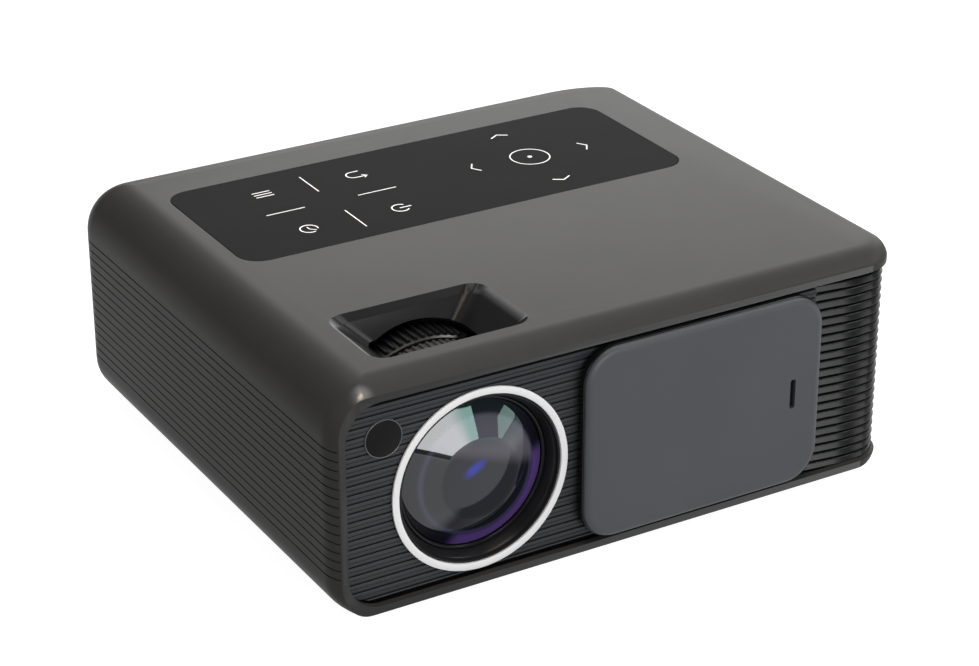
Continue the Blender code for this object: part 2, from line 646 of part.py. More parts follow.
def ridged_ring(name, size, y, finish_name):
    """A ring with ridges along the lens axis. Its lower part is smooth where it has a plain radius."""
    outline = []
    count = size["ridges"]
    for index in range(count):
        for along, sunk in RIDGE_SHARES:
            angle = 2 * math.pi * (index + along) / count
            radius = size["radius"] - sunk * size["ridge"]
            if "plain" in size and math.sin(angle) < PLAIN_BELOW_SHARE:
                radius = size["plain"]
            outline.append((radius * math.cos(angle), radius * math.sin(angle)))
    ring = flat(name, [outline, circle((0, 0), RING_BORE)], y[0], y[1], "Y", finish_name)
    ring.data.transform(Matrix.Translation((LENS_X, 0, LENS_Z)))
    return set_origin(ring, (LENS_X, (y[0] + y[1]) / 2, LENS_Z))


def lens_barrel():
    """The fixed tube: a bevelled mouth, the bearing of both rings, and a flange on the engine."""
    outer, bore = BARREL_RADIUS, BARREL_RADIUS - BARREL["wall"]
    length = Y_BARREL_BACK - Y_BARREL
    flange = outer + BARREL["flange"]
    thick = BARREL["flange_thick"]
    profile = [
        (outer, 0.0),
        (outer, thick - length),
        (flange, thick - length),
        (flange, -length),
        (bore, -length),
        (bore, -BARREL["bevel"]),
        (outer - BARREL["mouth"], 0.0),
    ]
    return turned("lens_barrel", profile, (LENS_X, Y_BARREL, LENS_Z), "black_plastic")


def lens_cell():
    """The moving cell that carries the front and the rear glass."""
    outer = CELL_RADIUS
    inner = outer - CELL["wall"]
    length = CELL["length"]
    seat = FRONT_GLASS["seat"]
    profile = [
        (outer, 0.0),
        (outer, -length),
        (inner - seat, -length),
        (inner - seat, -length + seat),
        (inner, -length + seat),
        (inner, 0.0),
    ]
    return turned("lens_cell", profile, (LENS_X, Y_CELL, LENS_Z), "black_plastic")


def lens_profile(radius, edge, bulge, steps=6):
    """A lens with a dome to the front and a flat back: the dome is an arc through its height and its edge."""
    sphere = (radius**2 + bulge**2) / (2 * bulge)
    reach = math.degrees(math.asin(radius / sphere))
    dome = [(r, h + bulge - sphere) for r, h in arc((0, 0), sphere, 90, 90 - reach, steps)]
    dome[0] = (0.0, bulge)
    dome[-1] = (radius, 0.0)
    return dome + [(radius, -edge), (0.0, -edge)]


def front_lens():
    radius = CELL_RADIUS - CELL["wall"] - GAP
    profile = lens_profile(radius, FRONT_GLASS["edge"], FRONT_GLASS["bulge"])
    return turned("front_lens", profile, (LENS_X, Y_CELL + FRONT_GLASS["sunk"], LENS_Z), "glass")


def rear_lens():
    radius = CELL_RADIUS - CELL["wall"] - GAP
    y = Y_CELL + CELL["length"] - FRONT_GLASS["seat"] - GAP - REAR_GLASS["edge"]
    profile = lens_profile(radius, REAR_GLASS["edge"], REAR_GLASS["bulge"])
    return turned("rear_lens", profile, (LENS_X, y, LENS_Z), "glass")


def tapered(name, x, y, top, low, slope, radius, finish_name=None):
    """A box with rounded upright edges whose low end is drawn in at its ends, front and back."""
    obj = block(name, x, y, (low, top), finish_name, rounds={"z": radius}, segments=5)
    end, front, back = slope
    bm = bmesh.new()
    bm.from_mesh(obj.data)
    for vert in bm.verts:
        if vert.co.z < (low + top) / 2:
            across = (vert.co.x - x[0]) / (x[1] - x[0])
            along = (vert.co.y - y[0]) / (y[1] - y[0])
            vert.co.x += end * (1 - 2 * across)
            vert.co.y += front * (1 - along) - back * along
    bmesh.ops.triangulate(bm, faces=bm.faces)
    bm.to_mesh(obj.data)
    bm.free()
    return obj


def well_form(name, inset, over, finish_name=None):
    """The focus well's funnel, set in from its opening. over lifts its top and drops its low end."""
    end, front, back = WELL_SIDE["end"], WELL_SIDE["front"], WELL_SIDE["back"]
    share = over / WELL_SIDE["depth"]
    x = (WELL_X[0] + inset - end * share, WELL_X[1] - inset + end * share)
    y = (WELL_Y[0] + inset - front * share, WELL_Y[1] - inset + back * share)
    whole = 1 + 2 * share
    slope = (end * whole, front * whole, back * whole)
    low = Z_TOP - WELL_SIDE["depth"] - over
    return tapered(name, x, y, Z_TOP + over, low, slope, WELL["round"] - inset, finish_name)


def focus_well():
    """The funnel insert, cut open below by the clearance round the two rings."""
    well = well_form("focus_well", GAP, 0.0, "gloss_plastic")
    boolean(well, well_form("cut_well_inside", GAP + WELL_SIDE["wall"], OVERRUN))
    clear = KEYSTONE["radius"] + WELL_SIDE["ring_clear"]
    span = (WELL_Y[0] - OVERRUN, WELL_Y[1] + OVERRUN)
    boolean(well, cylinder("cut_well_rings", (LENS_X, LENS_Z), clear, *span, "Y"))
    return well


def touch_panel():
    low = Z_TOP - TOUCH["thick"]
    return block("touch_panel", TOUCH_X, TOUCH_Y, (low, Z_TOP), "touch_glass", rounds={"z": TOUCH["round"]})


def touch_board():
    x = (-TOUCH_BOARD["length"] / 2, TOUCH_BOARD["length"] / 2)
    middle = (TOUCH_Y[0] + TOUCH_Y[1]) / 2
    y = (middle - TOUCH_BOARD["width"] / 2, middle + TOUCH_BOARD["width"] / 2)
    top = Z_TOP - TOP_WALL - GAP
    return block("touch_board", x, y, (top - TOUCH_BOARD["thick"], top), "board")


def side_grille():
    """Fins that wrap the right front corner, on posts that tie them together."""
    depth, corner = GRILLE["depth"], GRILLE["round"]
    left, right = GRILLE_LEFT + GAP, X_RIGHT
    back = GRILLE_BACK - GAP
    outer = [(left, Y_PANEL)] + arc((right - corner, Y_PANEL + corner), corner, 270, 360, 8) + [(right, back)]
    inner_round = corner - depth
    inner = [(right - depth, back)]
    inner += arc((right - corner, Y_PANEL + corner), inner_round, 360, 270, 8) + [(left, Y_PANEL + depth)]
    low, high = OPENING_LOW + GAP, OPENING_TOP - GAP
    post = GRILLE["post"]
    front_length = right - corner - left
    side_length = back - Y_PANEL - corner
    total = front_length + side_length
    fence = None
    for index, share in enumerate(GRILLE_POST_SHARES):
        along = share * total
        if along < front_length:
            x0 = min(left + along, left + front_length - post)
            wide, deep = (x0, x0 + post), (Y_PANEL + depth - post, Y_PANEL + depth + post / 2)
        else:
            y0 = min(Y_PANEL + corner + along - front_length, back - post)
            wide, deep = (right - depth - post / 2, right - depth + post), (y0, y0 + post)
        if fence is None:
            fence = block("side_grille", wide, deep, (low, high), "gloss_plastic")
        else:
            boolean(fence, block(f"grille_post_{index}", wide, deep, (low, high)), "UNION")
    for row in range(ROWS):
        z = ROWS_LOW + row * RIB_PITCH
        boolean(fence, flat(f"fin_{row}", [outer + inner], z, z + GRILLE["fin"], "Z"), "UNION")
    return fence


def rear_panel():
    """The flat plate at the back with its socket cut-outs and the slots before the intake fan."""
    x = (REAR_X[0] + GAP, REAR_X[1] - GAP)
    z = (REAR_Z[0] + GAP, REAR_Z[1] - GAP)
    y = (Y_BACK - REAR["thick"], Y_BACK)
    panel = block("rear_panel", x, y, z, "panel_plastic", rounds={"y": REAR["round"] - GAP})
    span = (y[0] - OVERRUN, y[1] + OVERRUN)
    for name, (cx, size) in SOCKETS.items():
        half = size["width"] / 2 + GAP
        bottom = SOCKET_Z - GAP
        top = SOCKET_Z + size.get("height", 2 * JACK["radius"]) + GAP
        boolean(panel, block("cut_" + name, (cx - half, cx + half), span, (bottom, top)))
    half = INLET["width"] / 2 + GAP
    tall = (SOCKET_Z - GAP, SOCKET_Z + INLET["height"] + GAP)
    boolean(panel, block("cut_inlet", (INLET_X - half, INLET_X + half), span, tall))
    reach = REAR_VENT["reach"]
    for row in range(REAR_VENT["rows"]):
        top = REAR_Z[1] - REAR_VENT["from_top"] - row * RIB_PITCH
        boolean(panel, block(f"cut_vent_{row}", (-reach, reach), span, (top - RIB_PITCH / 2, top)))
    return panel


def engine_outline(inset):
    """The plan of the optical engine: an arm to the lens and one to the lamp, and the mirror's cut corner."""
    x, y = ENGINE_X, ENGINE_Y
    split_x = x[0] + ENGINE["width"]
    split_y = y[1] - ENGINE["width"]
    cut = ENGINE["width"] * ENGINE_CORNER_SHARE
    return [
        (x[0] + inset, y[0] + inset),
        (split_x - inset, y[0] + inset),
        (split_x - inset, split_y + inset),
        (x[1] - inset, split_y + inset),
        (x[1] - inset, y[1] - inset),
        (x[0] + cut + inset * MITRE, y[1] - inset),
        (x[0] + inset, y[1] - cut - inset * MITRE),
    ]


def optical_engine():
    """The open trough that holds the mirror and the panel optics, with a hole at each end for the light."""
    top = ENGINE_LOW + ENGINE["height"]
    trough = flat("optical_engine", [engine_outline(0.0)], ENGINE_LOW, top, "Z", "black_plastic")
    wall = ENGINE["wall"]
    boolean(trough, flat("cut_trough", [engine_outline(wall)], ENGINE_LOW + wall, top + OVERRUN, "Z"))
    light = CELL_RADIUS - CELL["wall"]
    lens_end = (ENGINE_Y[0] - wall, ENGINE_Y[0] + 2 * wall)
    lamp_end = (ENGINE_X[1] - 2 * wall, ENGINE_X[1] + wall)
    boolean(trough, cylinder("cut_lens_end", (LENS_X, LENS_Z), light, *lens_end, "Y"))
    boolean(trough, cylinder("cut_lamp_end", (PATH_Y, LENS_Z), light, *lamp_end, "X"))
    return trough


def engine_lid():
    low = ENGINE_LOW + ENGINE["height"] + GAP
    return flat("engine_lid", [engine_outline(0.0)], low, low + ENGINE["lid"], "Z", "black_plastic")


def projection_mirror():
    """The mirror that turns the light from the lamp's arm to the lens, standing across the corner."""
    half = MIRROR["size"] / 2
    low = ENGINE_LOW + ENGINE["wall"] + GAP
    thick = MIRROR["thick"]
    tall = (low, low + MIRROR["size"])
    mirror = block("projection_mirror", (-half, half), (-thick / 2, thick / 2), tall, "mirror_glass")
    shift = half * MIRROR_SET_SHARE
    mirror.location = (LENS_X - shift, PATH_Y + shift, 0)
    mirror.rotation_euler = (0, 0, math.radians(45))
    return mirror


def optic_x(share):
    start = ENGINE_X[0] + ENGINE["width"]
    return start + share * (ENGINE_X[1] - ENGINE["wall"] - start)


def upright_glass(name, x):
    """A square glass plate across the lamp's arm, standing on the floor of the trough."""
    low = ENGINE_LOW + ENGINE["wall"] + GAP
    size, half, thick = FIELD_LENS["size"], FIELD_LENS["size"] / 2, FIELD_LENS["thick"]
    span = (x - thick / 2, x + thick / 2)
    return block(name, span, (PATH_Y - half, PATH_Y + half), (low, low + size), "glass")


def lcd_carrier():
    """The frame that the keystone ring tilts, on two trunnions in the trough's walls."""
    x, half, bar = optic_x(OPTIC_SPOT_SHARES["carrier"]), CARRIER["size"] / 2, CARRIER["bar"]
    thick = CARRIER["thick"]
    y, z = (PATH_Y - half, PATH_Y + half), (LENS_Z - half, LENS_Z + half)
    frame = block("lcd_carrier", (x - thick / 2, x + thick / 2), y, z, "black_plastic")
    window = block(
        "cut_carrier",
        (x - thick, x + thick),
        (PATH_Y - half + bar, PATH_Y + half - bar),
        (z[0] + bar, z[1] - bar),
    )
    boolean(frame, window)
    reach = ENGINE["width"] / 2 - ENGINE["wall"] - GAP
    for side in (-1, 1):
        span = sorted((PATH_Y + side * (half - GAP), PATH_Y + side * reach))
        pin = cylinder(f"trunnion_{side + 1}", (x, LENS_Z), CARRIER["pin"], *span, "Y", steps=16)
        boolean(frame, pin, "UNION")
    return set_origin(frame, (x, PATH_Y, LENS_Z))


def lcd_panel():
    x, half = optic_x(OPTIC_SPOT_SHARES["carrier"]), CARRIER["size"] / 2 - CARRIER["bar"] - GAP
    thick = LCD["thick"]
    span = (x - thick / 2, x + thick / 2)
    panel = block("lcd_panel", span, (PATH_Y - half, PATH_Y + half), (LENS_Z - half, LENS_Z + half), "glass")
    return set_origin(panel, (x, PATH_Y, LENS_Z))


def condenser():
    """The condenser lens in its square holder, which stands on the trough's floor."""
    x = optic_x(OPTIC_SPOT_SHARES["condenser"])
    radius = CONDENSER["radius"]
    holder_low = ENGINE_LOW + ENGINE["wall"] + GAP
    edge = CONDENSER["edge"]
    holder = block(
        "condenser_lens",
        (x - edge / 2, x + edge / 2),
        (PATH_Y - radius, PATH_Y + radius),
        (holder_low, LENS_Z + radius),
        "glass",
    )
    dome = turned(
        "condenser_dome",
        lens_profile(CONDENSER["dome"], edge / 4, CONDENSER["bulge"], 4),
        (x, PATH_Y, LENS_Z),
        face="right",
        steps=32,
    )
    return boolean(holder, dome, "UNION")


def led_board():
    """The light source: a square board with its emitter, against the heat sink."""
    half, chip = LED["size"] / 2, LED["chip"] / 2
    x = (SINK_X - GAP - LED["thick"], SINK_X - GAP)
    board = block("led_board", x, (PATH_Y - half, PATH_Y + half), (LENS_Z - half, LENS_Z + half), "aluminium")
    span = (x[0] - LED["chip_thick"], x[0] + GAP)
    emitter = block("led_emitter", span, (PATH_Y - chip, PATH_Y + chip), (LENS_Z - chip, LENS_Z + chip))
    return boolean(board, emitter, "UNION")


def heat_sink():
    """A comb of upright fins on a base, as one extruded outline."""
    half = SINK["size"] / 2
    fin, count = SINK["fin"], SINK["fins"]
    step = (SINK["size"] - fin) / (count - 1)
    x0, x1, x2 = SINK_X, SINK_X + SINK["base"], SINK_X + SINK["depth"]
    low = PATH_Y - half
    points = [(x0, low)]
    for index in range(count):
        y = low + index * step
        points += [(x2, y), (x2, y + fin)]
        if index < count - 1:
            points += [(x1, y + fin), (x1, y + step)]
    points.append((x0, low + SINK["size"]))
    return flat("heat_sink", [points], FAN_LOW, FAN_LOW + SINK["size"], "Z", "aluminium")


def fan_frame(name, centre, axis, finish_name):
    """A square fan frame with its hole, and four struts that carry the hub's bearing."""
    half, depth = FAN["size"] / 2, FAN["depth"]
    square, span = (-half, half), (-depth / 2, STRUT["thick"] - depth / 2)
    frame = block(name, square, square, (-depth / 2, depth / 2), finish_name, rounds={"z": FAN["round"]})
    hole = cylinder(name + "_cut", (0, 0), FAN["hole"], -depth, depth, "Z")
    ring = cylinder(name + "_bearing", (0, 0), FAN["hub"], *span, "Z", steps=24)
    reach = FAN["hole"] + STRUT["width"] / 2
    cross = []
    for index, (a, b) in enumerate(((reach, STRUT["width"] / 2), (STRUT["width"] / 2, reach))):
        cross.append(block(f"{name}_strut_{index}", (-a, a), (-b, b), span))
    boolean(frame, hole)
    for helper in (ring, *cross):
        boolean(frame, helper, "UNION")
    for helper in (hole, ring, *cross):
        helper.parent = frame
    frame.location = centre
    if axis == "X":
        frame.rotation_euler = (0, math.pi / 2, 0)
    if axis == "Y":
        frame.rotation_euler = (math.pi / 2, 0, 0)
    return frame


def fan_rotor(name, centre, axis, finish_name):
    """A hub with pitched blades, joined into one rotor."""
    depth = FAN["depth"]
    low = STRUT["thick"] + GAP - depth / 2
    high = depth / 2 - GAP
    hub = cylinder(name, (0, 0), FAN["hub"], low, high, "Z", finish_name, steps=24)
    set_origin(hub, (0, 0, 0))
    reach = FAN["hole"] - FAN["blade_clear"]
    tall = (high - low) * BLADE_SHARE
    long, thin, upright = (FAN["hub"] * BLADE_ROOT_SHARE, reach), FAN["blade"] / 2, (-tall / 2, tall / 2)
    for index in range(FAN_BLADES):
        blade = block(f"{name}_blade_{index}", long, (-thin, thin), upright)
        turn = Matrix.Rotation(2 * math.pi * index / FAN_BLADES, 4, "Z")
        pitch = Matrix.Rotation(BLADE_PITCH, 4, "X")
        blade.data.transform(turn @ Matrix.Translation((0, 0, (low + high) / 2)) @ pitch)
        blade.parent = hub
        boolean(hub, blade, "UNION")
    keep = cylinder(name + "_sweep", (0, 0), reach, low, high, "Z")
    keep.parent = hub
    boolean(hub, keep, "INTERSECT")
    hub.location = centre
    if axis == "X":
        hub.rotation_euler = (0, math.pi / 2, 0)
    if axis == "Y":
        hub.rotation_euler = (math.pi / 2, 0, 0)
    return hub


def circuit_board(name, x, y, low, thick):
    return block(name, x, y, (low, low + thick), "board")


def tunnel_socket(name, size, finish_name):
    """A metal socket on the main board: a box open to the back, with the tongue inside."""
    cx = SOCKETS[name][0]
    half, wall = size["width"] / 2, size["wall"]
    y = (Y_BACK - size["depth"], Y_BACK - GAP)
    z = (SOCKET_Z, SOCKET_Z + size["height"])
    socket = block(name, (cx - half, cx + half), y, z, finish_name)
    inside, tall = (cx - half + wall, cx + half - wall), (z[0] + wall, z[1] - wall)
    boolean(socket, block(name + "_mouth", inside, (y[0] + 3 * wall, y[1] + OVERRUN), tall))
    top = z[1] - wall - size["drop"]
    bar = block(
        name + "_tongue",
        (cx - half + 3 * wall, cx + half - 3 * wall),
        (y[0] + wall, y[1] - size["tongue"]),
        (top - size["tongue"], top),
    )
    return boolean(socket, bar, "UNION")


def jack_socket(name):
    """A round jack: a square body on the board with a round nose in the panel."""
    cx = SOCKETS[name][0]
    half = JACK["width"] / 2
    middle = SOCKET_Z + JACK["radius"]
    deep = (Y_BACK - JACK["depth"], Y_REAR - GAP)
    body = block(name, (cx - half, cx + half), deep, (SOCKET_Z, middle + half), "black_plastic")
    passed = (Y_REAR - 2 * GAP, Y_BACK - GAP)
    nose = cylinder(name + "_nose", (cx, middle), JACK["radius"], *passed, "Y", steps=20)
    boolean(body, nose, "UNION")
    bore = (Y_BACK - JACK["bore"], Y_BACK + OVERRUN)
    hole = cylinder(name + "_hole", (cx, middle), JACK["hole"], *bore, "Y", steps=16)
    return boolean(body, hole)


def power_inlet():
    """The two-pin mains inlet: a cup open to the back with its pins."""
    half, wall = INLET["width"] / 2, INLET["wall"]
    y = (Y_BACK - INLET["depth"], Y_BACK - GAP)
    z = (SOCKET_Z, SOCKET_Z + INLET["height"])
    x = (INLET_X - half, INLET_X + half)
    cup = block("power_inlet", x, y, z, "black_plastic", rounds={"y": INLET["round"] + wall}, segments=3)
    inner = ((x[0] + wall, x[1] - wall), (y[0] + wall, y[1] + OVERRUN), (z[0] + wall, z[1] - wall))
    boolean(cup, block("cut_inlet_cup", *inner, rounds={"y": INLET["round"]}, segments=3))
    middle = (z[0] + z[1]) / 2
    for side in (-1, 1):
        spot = (INLET_X + side * INLET["pitch"] / 2, middle)
        long = (y[0] + wall / 2, y[1] - 2 * wall)
        pin = cylinder(f"inlet_pin_{side + 1}", spot, INLET["pin"], *long, "Y", steps=12)
        boolean(cup, pin, "UNION")
    return cup


def speaker(name, x, y, way):
    """A square loudspeaker with a sunk cone and its magnet behind. way is the side it faces."""
    half, rim, depth = SPEAKER["size"] / 2, SPEAKER["rim"], SPEAKER["depth"]
    low = BASE_TOP + GAP
    z = (low, low + SPEAKER["size"])
    face = sorted((x, x - way * rim))
    body = block(name, face, (y - half, y + half), z, "black_plastic", rounds={"x": half / 6}, segments=3)
    middle = (z[0] + z[1]) / 2
    drum = sorted((x - way * rim / 2, x - way * depth))
    magnet = cylinder(name + "_magnet", (y, middle), SPEAKER["magnet"], *drum, "X", steps=24)
    boolean(body, magnet, "UNION")
    cone = sorted((x + way * OVERRUN, x - way * SPEAKER["sunk"]))
    boolean(body, cylinder(name + "_cone", (y, middle), SPEAKER["cone"], *cone, "X", steps=24))
    return body


def rubber_foot(name, x, y):
    edge, radius = RUBBER_FOOT["edge"], RUBBER_FOOT["radius"]
    top = Z_LOW - GAP
    profile = [(0.0, top), (radius, top), (radius, edge), (radius - edge, 0.0), (0.0, 0.0)]
    return turned(name, profile, (x, y, 0.0), "rubber", face="up", steps=24)


def screw_foot():
    """The levelling foot at the front: a brass insert in the bottom, the screw in it, and its pad."""
    x, y = SCREW_FOOT_XY
    stem, outer = SCREW_FOOT["stem"], INSERT["radius"]
    top = Z_LOW + INSERT["height"]
    bore = stem + GAP
    profile = [(outer, top), (outer, Z_LOW), (bore, Z_LOW), (bore, top)]
    turned("foot_insert", profile, (x, y, 0.0), "brass", face="up", steps=24)
    pad, lift, radius = SCREW_FOOT["pad"], SCREW_FOOT["lift"], SCREW_FOOT["radius"]
    head, flange, pin = SCREW_HEAD["thick"], SCREW_HEAD["radius"], SCREW_HEAD["pin"]
    pad_top, seat = lift + pad, lift + pad / 3
    profile = [(radius, pad_top), (radius, lift), (0.0, lift), (0.0, seat)]
    profile += [(pin + GAP, seat), (pin + GAP, pad_top)]
    turned("foot_pad", profile, (x, y, 0.0), "rubber", face="up", steps=24)
    low, under = pad_top + GAP, seat + GAP
    stem_low = low + head
    stem_top = stem_low + SCREW_FOOT["length"]
    profile = [(0.0, stem_top), (stem, stem_top), (stem, stem_low)]
    profile += [(flange, stem_low), (flange, low), (pin, low), (pin, under), (0.0, under)]
    turned("foot_screw", profile, (x, y, 0.0), "steel", face="up", steps=24)


# Places that follow from the sizes above
GRILLE_LEFT = X_RIGHT - GRILLE["front"]
GRILLE_BACK = Y_BACK - GRILLE["side_back"]
ROWS = int((OPENING_TOP - OPENING_LOW - 2 * GAP - GRILLE["fin"]) / RIB_PITCH) + 1
ROWS_LOW = (OPENING_LOW + OPENING_TOP - (ROWS - 1) * RIB_PITCH - GRILLE["fin"]) / 2
BASE_X = (X_LEFT + BASE["side"], X_RIGHT - BASE["right"])
BASE_Y = (Y_RIM + BASE["front"], Y_BACK - BASE["back"])
BASE_TOP = Z_LOW + BASE["thick"]
REAR_X = (X_LEFT + REAR["side"], X_RIGHT - REAR["right"])
REAR_Z = (Z_LOW + REAR["low"], Z_LOW + REAR["low"] + REAR["height"])
Y_REAR = Y_BACK - REAR["thick"]
IR_X = X_LEFT + IR["from_left"]
IR_Z = Z_LOW + IR["over_bottom"]
Y_IR = Y_PANEL - IR["proud"]
Y_TRIM = Y_PANEL - TRIM["proud"]
Y_CAP_BACK = Y_TRIM - CAP["over_ring"]
CAP_X = (GRILLE_LEFT - GAP - CAP["width"], GRILLE_LEFT - GAP)
CAP_Z = (PANEL_LOW, PANEL_TOP + CAP["over_top"])
WELL_X = (X_LEFT + WELL["from_left"], X_LEFT + WELL["from_left"] + WELL["length"])
WELL_Y = (Y_RIM + WELL["from_rim"], Y_RIM + WELL["from_rim"] + WELL["width"])
TOUCH_X = (-TOUCH["length"] / 2, TOUCH["length"] / 2)
TOUCH_Y = (Y_BACK - TOUCH["from_back"] - TOUCH["width"], Y_BACK - TOUCH["from_back"])
BARREL_RADIUS = TRIM["inner"] - GAP
CELL_RADIUS = BARREL_RADIUS - BARREL["wall"] - GAP
Y_BARREL = Y_TRIM + BARREL["mouth"]
Y_CELL = Y_BARREL + BARREL["bevel"] + CELL["setback"]
RING_BORE = BARREL_RADIUS + GAP
FOCUS_Y = (Y_PANEL + RINGS_BEHIND_PANEL, Y_PANEL + RINGS_BEHIND_PANEL + FOCUS["width"])
KEYSTONE_Y = (FOCUS_Y[1] + RING_GAP, FOCUS_Y[1] + RING_GAP + KEYSTONE["width"])
Y_BARREL_BACK = KEYSTONE_Y[1] + BARREL["behind_rings"]
ENGINE_LOW = BASE_TOP + ENGINE["over_base"]
ENGINE_ROOM = X_RIGHT - GRILLE["depth"] - GRILLE["post"] / 2 - LENS_X - ENGINE["width"] / 2
ENGINE_ARM = ENGINE_ARM_SHARE * ENGINE_ROOM
ENGINE_X = (LENS_X - ENGINE["width"] / 2, LENS_X + ENGINE["width"] / 2 + ENGINE_ARM)
ENGINE_Y = (Y_BARREL_BACK + GAP, Y_BARREL_BACK + GAP + ENGINE["width"] + ENGINE["width"] / 2)
PATH_Y = ENGINE_Y[1] - ENGINE["width"] / 2
SINK_X = ENGINE_X[1] + LED["thick"] + LED["chip_thick"] + 2 * GAP
FAN_LOW = BASE_TOP + GAP
EXHAUST_X = SINK_X + SINK["depth"] + GAP + FAN["depth"] / 2
INLET_X = REAR_X[1] - INLET["width"]
MAIN_X = (
    REAR_X[0] + MAIN_BOARD["from_rear_panel"], INLET_X - INLET["width"] / 2 - MAIN_BOARD["from_inlet"],
)
MAIN_Y = (ENGINE_Y[1] + BOARD_CLEAR, Y_REAR - GAP)
MAIN_Z = BASE_TOP + MAIN_BOARD["over_base"]
POWER_X = (MAIN_X[1] + POWER_BOARD["from_main"], X_RIGHT - POWER_BOARD["from_right"])
POWER_Y = (MAIN_Y[0], MAIN_Y[1] - POWER_BOARD["from_rear"])
POWER_Z = BASE_TOP + POWER_BOARD["over_base"]
SOCKET_Z = MAIN_Z + MAIN_BOARD["thick"] + GAP
SOCKET_ROOM = MAIN_X[1] - MAIN_X[0] - sum(size["width"] for name, size in SOCKET_ROW)
SOCKET_GAP = SOCKET_ROOM / (len(SOCKET_ROW) + 1)
SOCKETS = {}
socket_left = MAIN_X[0] + SOCKET_GAP
for socket_name, socket_size in SOCKET_ROW:
    SOCKETS[socket_name] = (socket_left + socket_size["width"] / 2, socket_size)
    socket_left += socket_size["width"] + SOCKET_GAP
SPEAKER_X = X_RIGHT - GRILLE["depth"] - SPEAKER_PLACE["from_fins"]
SPEAKER_Y = Y_RIM + SPEAKER_PLACE["from_rim"]
SCREW_FOOT_XY = (0.0, BASE_Y[0] + 2 * SCREW_FOOT["radius"])
INTAKE_XY = (
    (SCREW_FOOT_XY[0] + INSERT["radius"] + SPEAKER_X - SPEAKER["depth"]) / 2,
    SCREW_FOOT_XY[1] + FAN["size"] / 3,
)

shell()
base_plate()
front_panel()
trim_ring()
ir_window()
ir_receiver()
lens_cap()
lens_barrel()
lens_cell()
front_lens()
rear_lens()
ridged_ring("focus_ring", FOCUS, FOCUS_Y, "black_plastic")
ridged_ring("keystone_ring", KEYSTONE, KEYSTONE_Y, "black_plastic")
focus_well()
touch_panel()
touch_board()
side_grille()
rear_panel()
optical_engine()
engine_lid()
projection_mirror()
upright_glass("near_field_lens", optic_x(OPTIC_SPOT_SHARES["near_field"]))
upright_glass("far_field_lens", optic_x(OPTIC_SPOT_SHARES["far_field"]))
upright_glass("heat_glass", optic_x(OPTIC_SPOT_SHARES["heat_glass"]))
lcd_carrier()
lcd_panel()
condenser()
led_board()
heat_sink()
exhaust_centre = (EXHAUST_X, PATH_Y, FAN_LOW + FAN["size"] / 2)
fan_frame("exhaust_fan_frame", exhaust_centre, "X", "black_plastic")
fan_rotor("exhaust_fan_rotor", exhaust_centre, "X", "panel_plastic")
intake_centre = (*INTAKE_XY, FAN_LOW + FAN["depth"] / 2)
fan_frame("intake_fan_frame", intake_centre, "Z", "black_plastic")
fan_rotor("intake_fan_rotor", intake_centre, "Z", "panel_plastic")
speaker("loudspeaker", SPEAKER_X, SPEAKER_Y, 1)
circuit_board("main_board", MAIN_X, MAIN_Y, MAIN_Z, MAIN_BOARD["thick"])
circuit_board("power_board", POWER_X, POWER_Y, POWER_Z, POWER_BOARD["thick"])
for socket_name in ("hdmi_a", "hdmi_b"):
    tunnel_socket(socket_name, HDMI, "steel")
for socket_name in ("usb_a", "usb_b"):
    tunnel_socket(socket_name, USB, "steel")
jack_socket("av_jack")
jack_socket("audio_jack")
power_inlet()
for name, x, y in (
    ("rubber_foot_rear_left", BASE_X[0] + RUBBER_FOOT["inset"], BASE_Y[1] - RUBBER_FOOT["inset"]),
    ("rubber_foot_rear_right", BASE_X[1] - RUBBER_FOOT["inset"], BASE_Y[1] - RUBBER_FOOT["inset"]),
    ("rubber_foot_front_left", BASE_X[0] + RUBBER_FOOT["inset"], BASE_Y[0] + RUBBER_FOOT["inset"]),
    ("rubber_foot_front_right", BASE_X[1] - RUBBER_FOOT["inset"], BASE_Y[0] + RUBBER_FOOT["inset"]),
):
    rubber_foot(name, x, y)
screw_foot()
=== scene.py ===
import json
import math
import bmesh
import bpy
from mathutils import Matrix, Vector
from mathutils.bvhtree import BVHTree
from mathutils.geometry import barycentric_transform


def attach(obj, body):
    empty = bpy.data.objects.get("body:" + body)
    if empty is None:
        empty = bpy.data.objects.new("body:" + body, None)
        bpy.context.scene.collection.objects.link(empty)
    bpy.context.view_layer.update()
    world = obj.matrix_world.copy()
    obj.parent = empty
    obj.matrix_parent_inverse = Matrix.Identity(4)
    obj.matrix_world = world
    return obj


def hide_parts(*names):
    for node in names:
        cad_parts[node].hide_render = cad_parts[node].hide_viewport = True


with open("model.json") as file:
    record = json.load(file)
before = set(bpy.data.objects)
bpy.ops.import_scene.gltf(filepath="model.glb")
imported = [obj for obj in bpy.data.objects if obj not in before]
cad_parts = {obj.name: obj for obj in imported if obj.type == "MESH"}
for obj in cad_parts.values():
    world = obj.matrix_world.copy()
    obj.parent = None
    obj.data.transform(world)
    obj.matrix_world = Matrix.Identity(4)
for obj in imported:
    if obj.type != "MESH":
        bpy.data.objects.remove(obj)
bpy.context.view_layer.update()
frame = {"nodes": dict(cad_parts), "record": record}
mm = 0.001
cad = frame["nodes"]
print("frame loaded:", len(cad), "nodes")


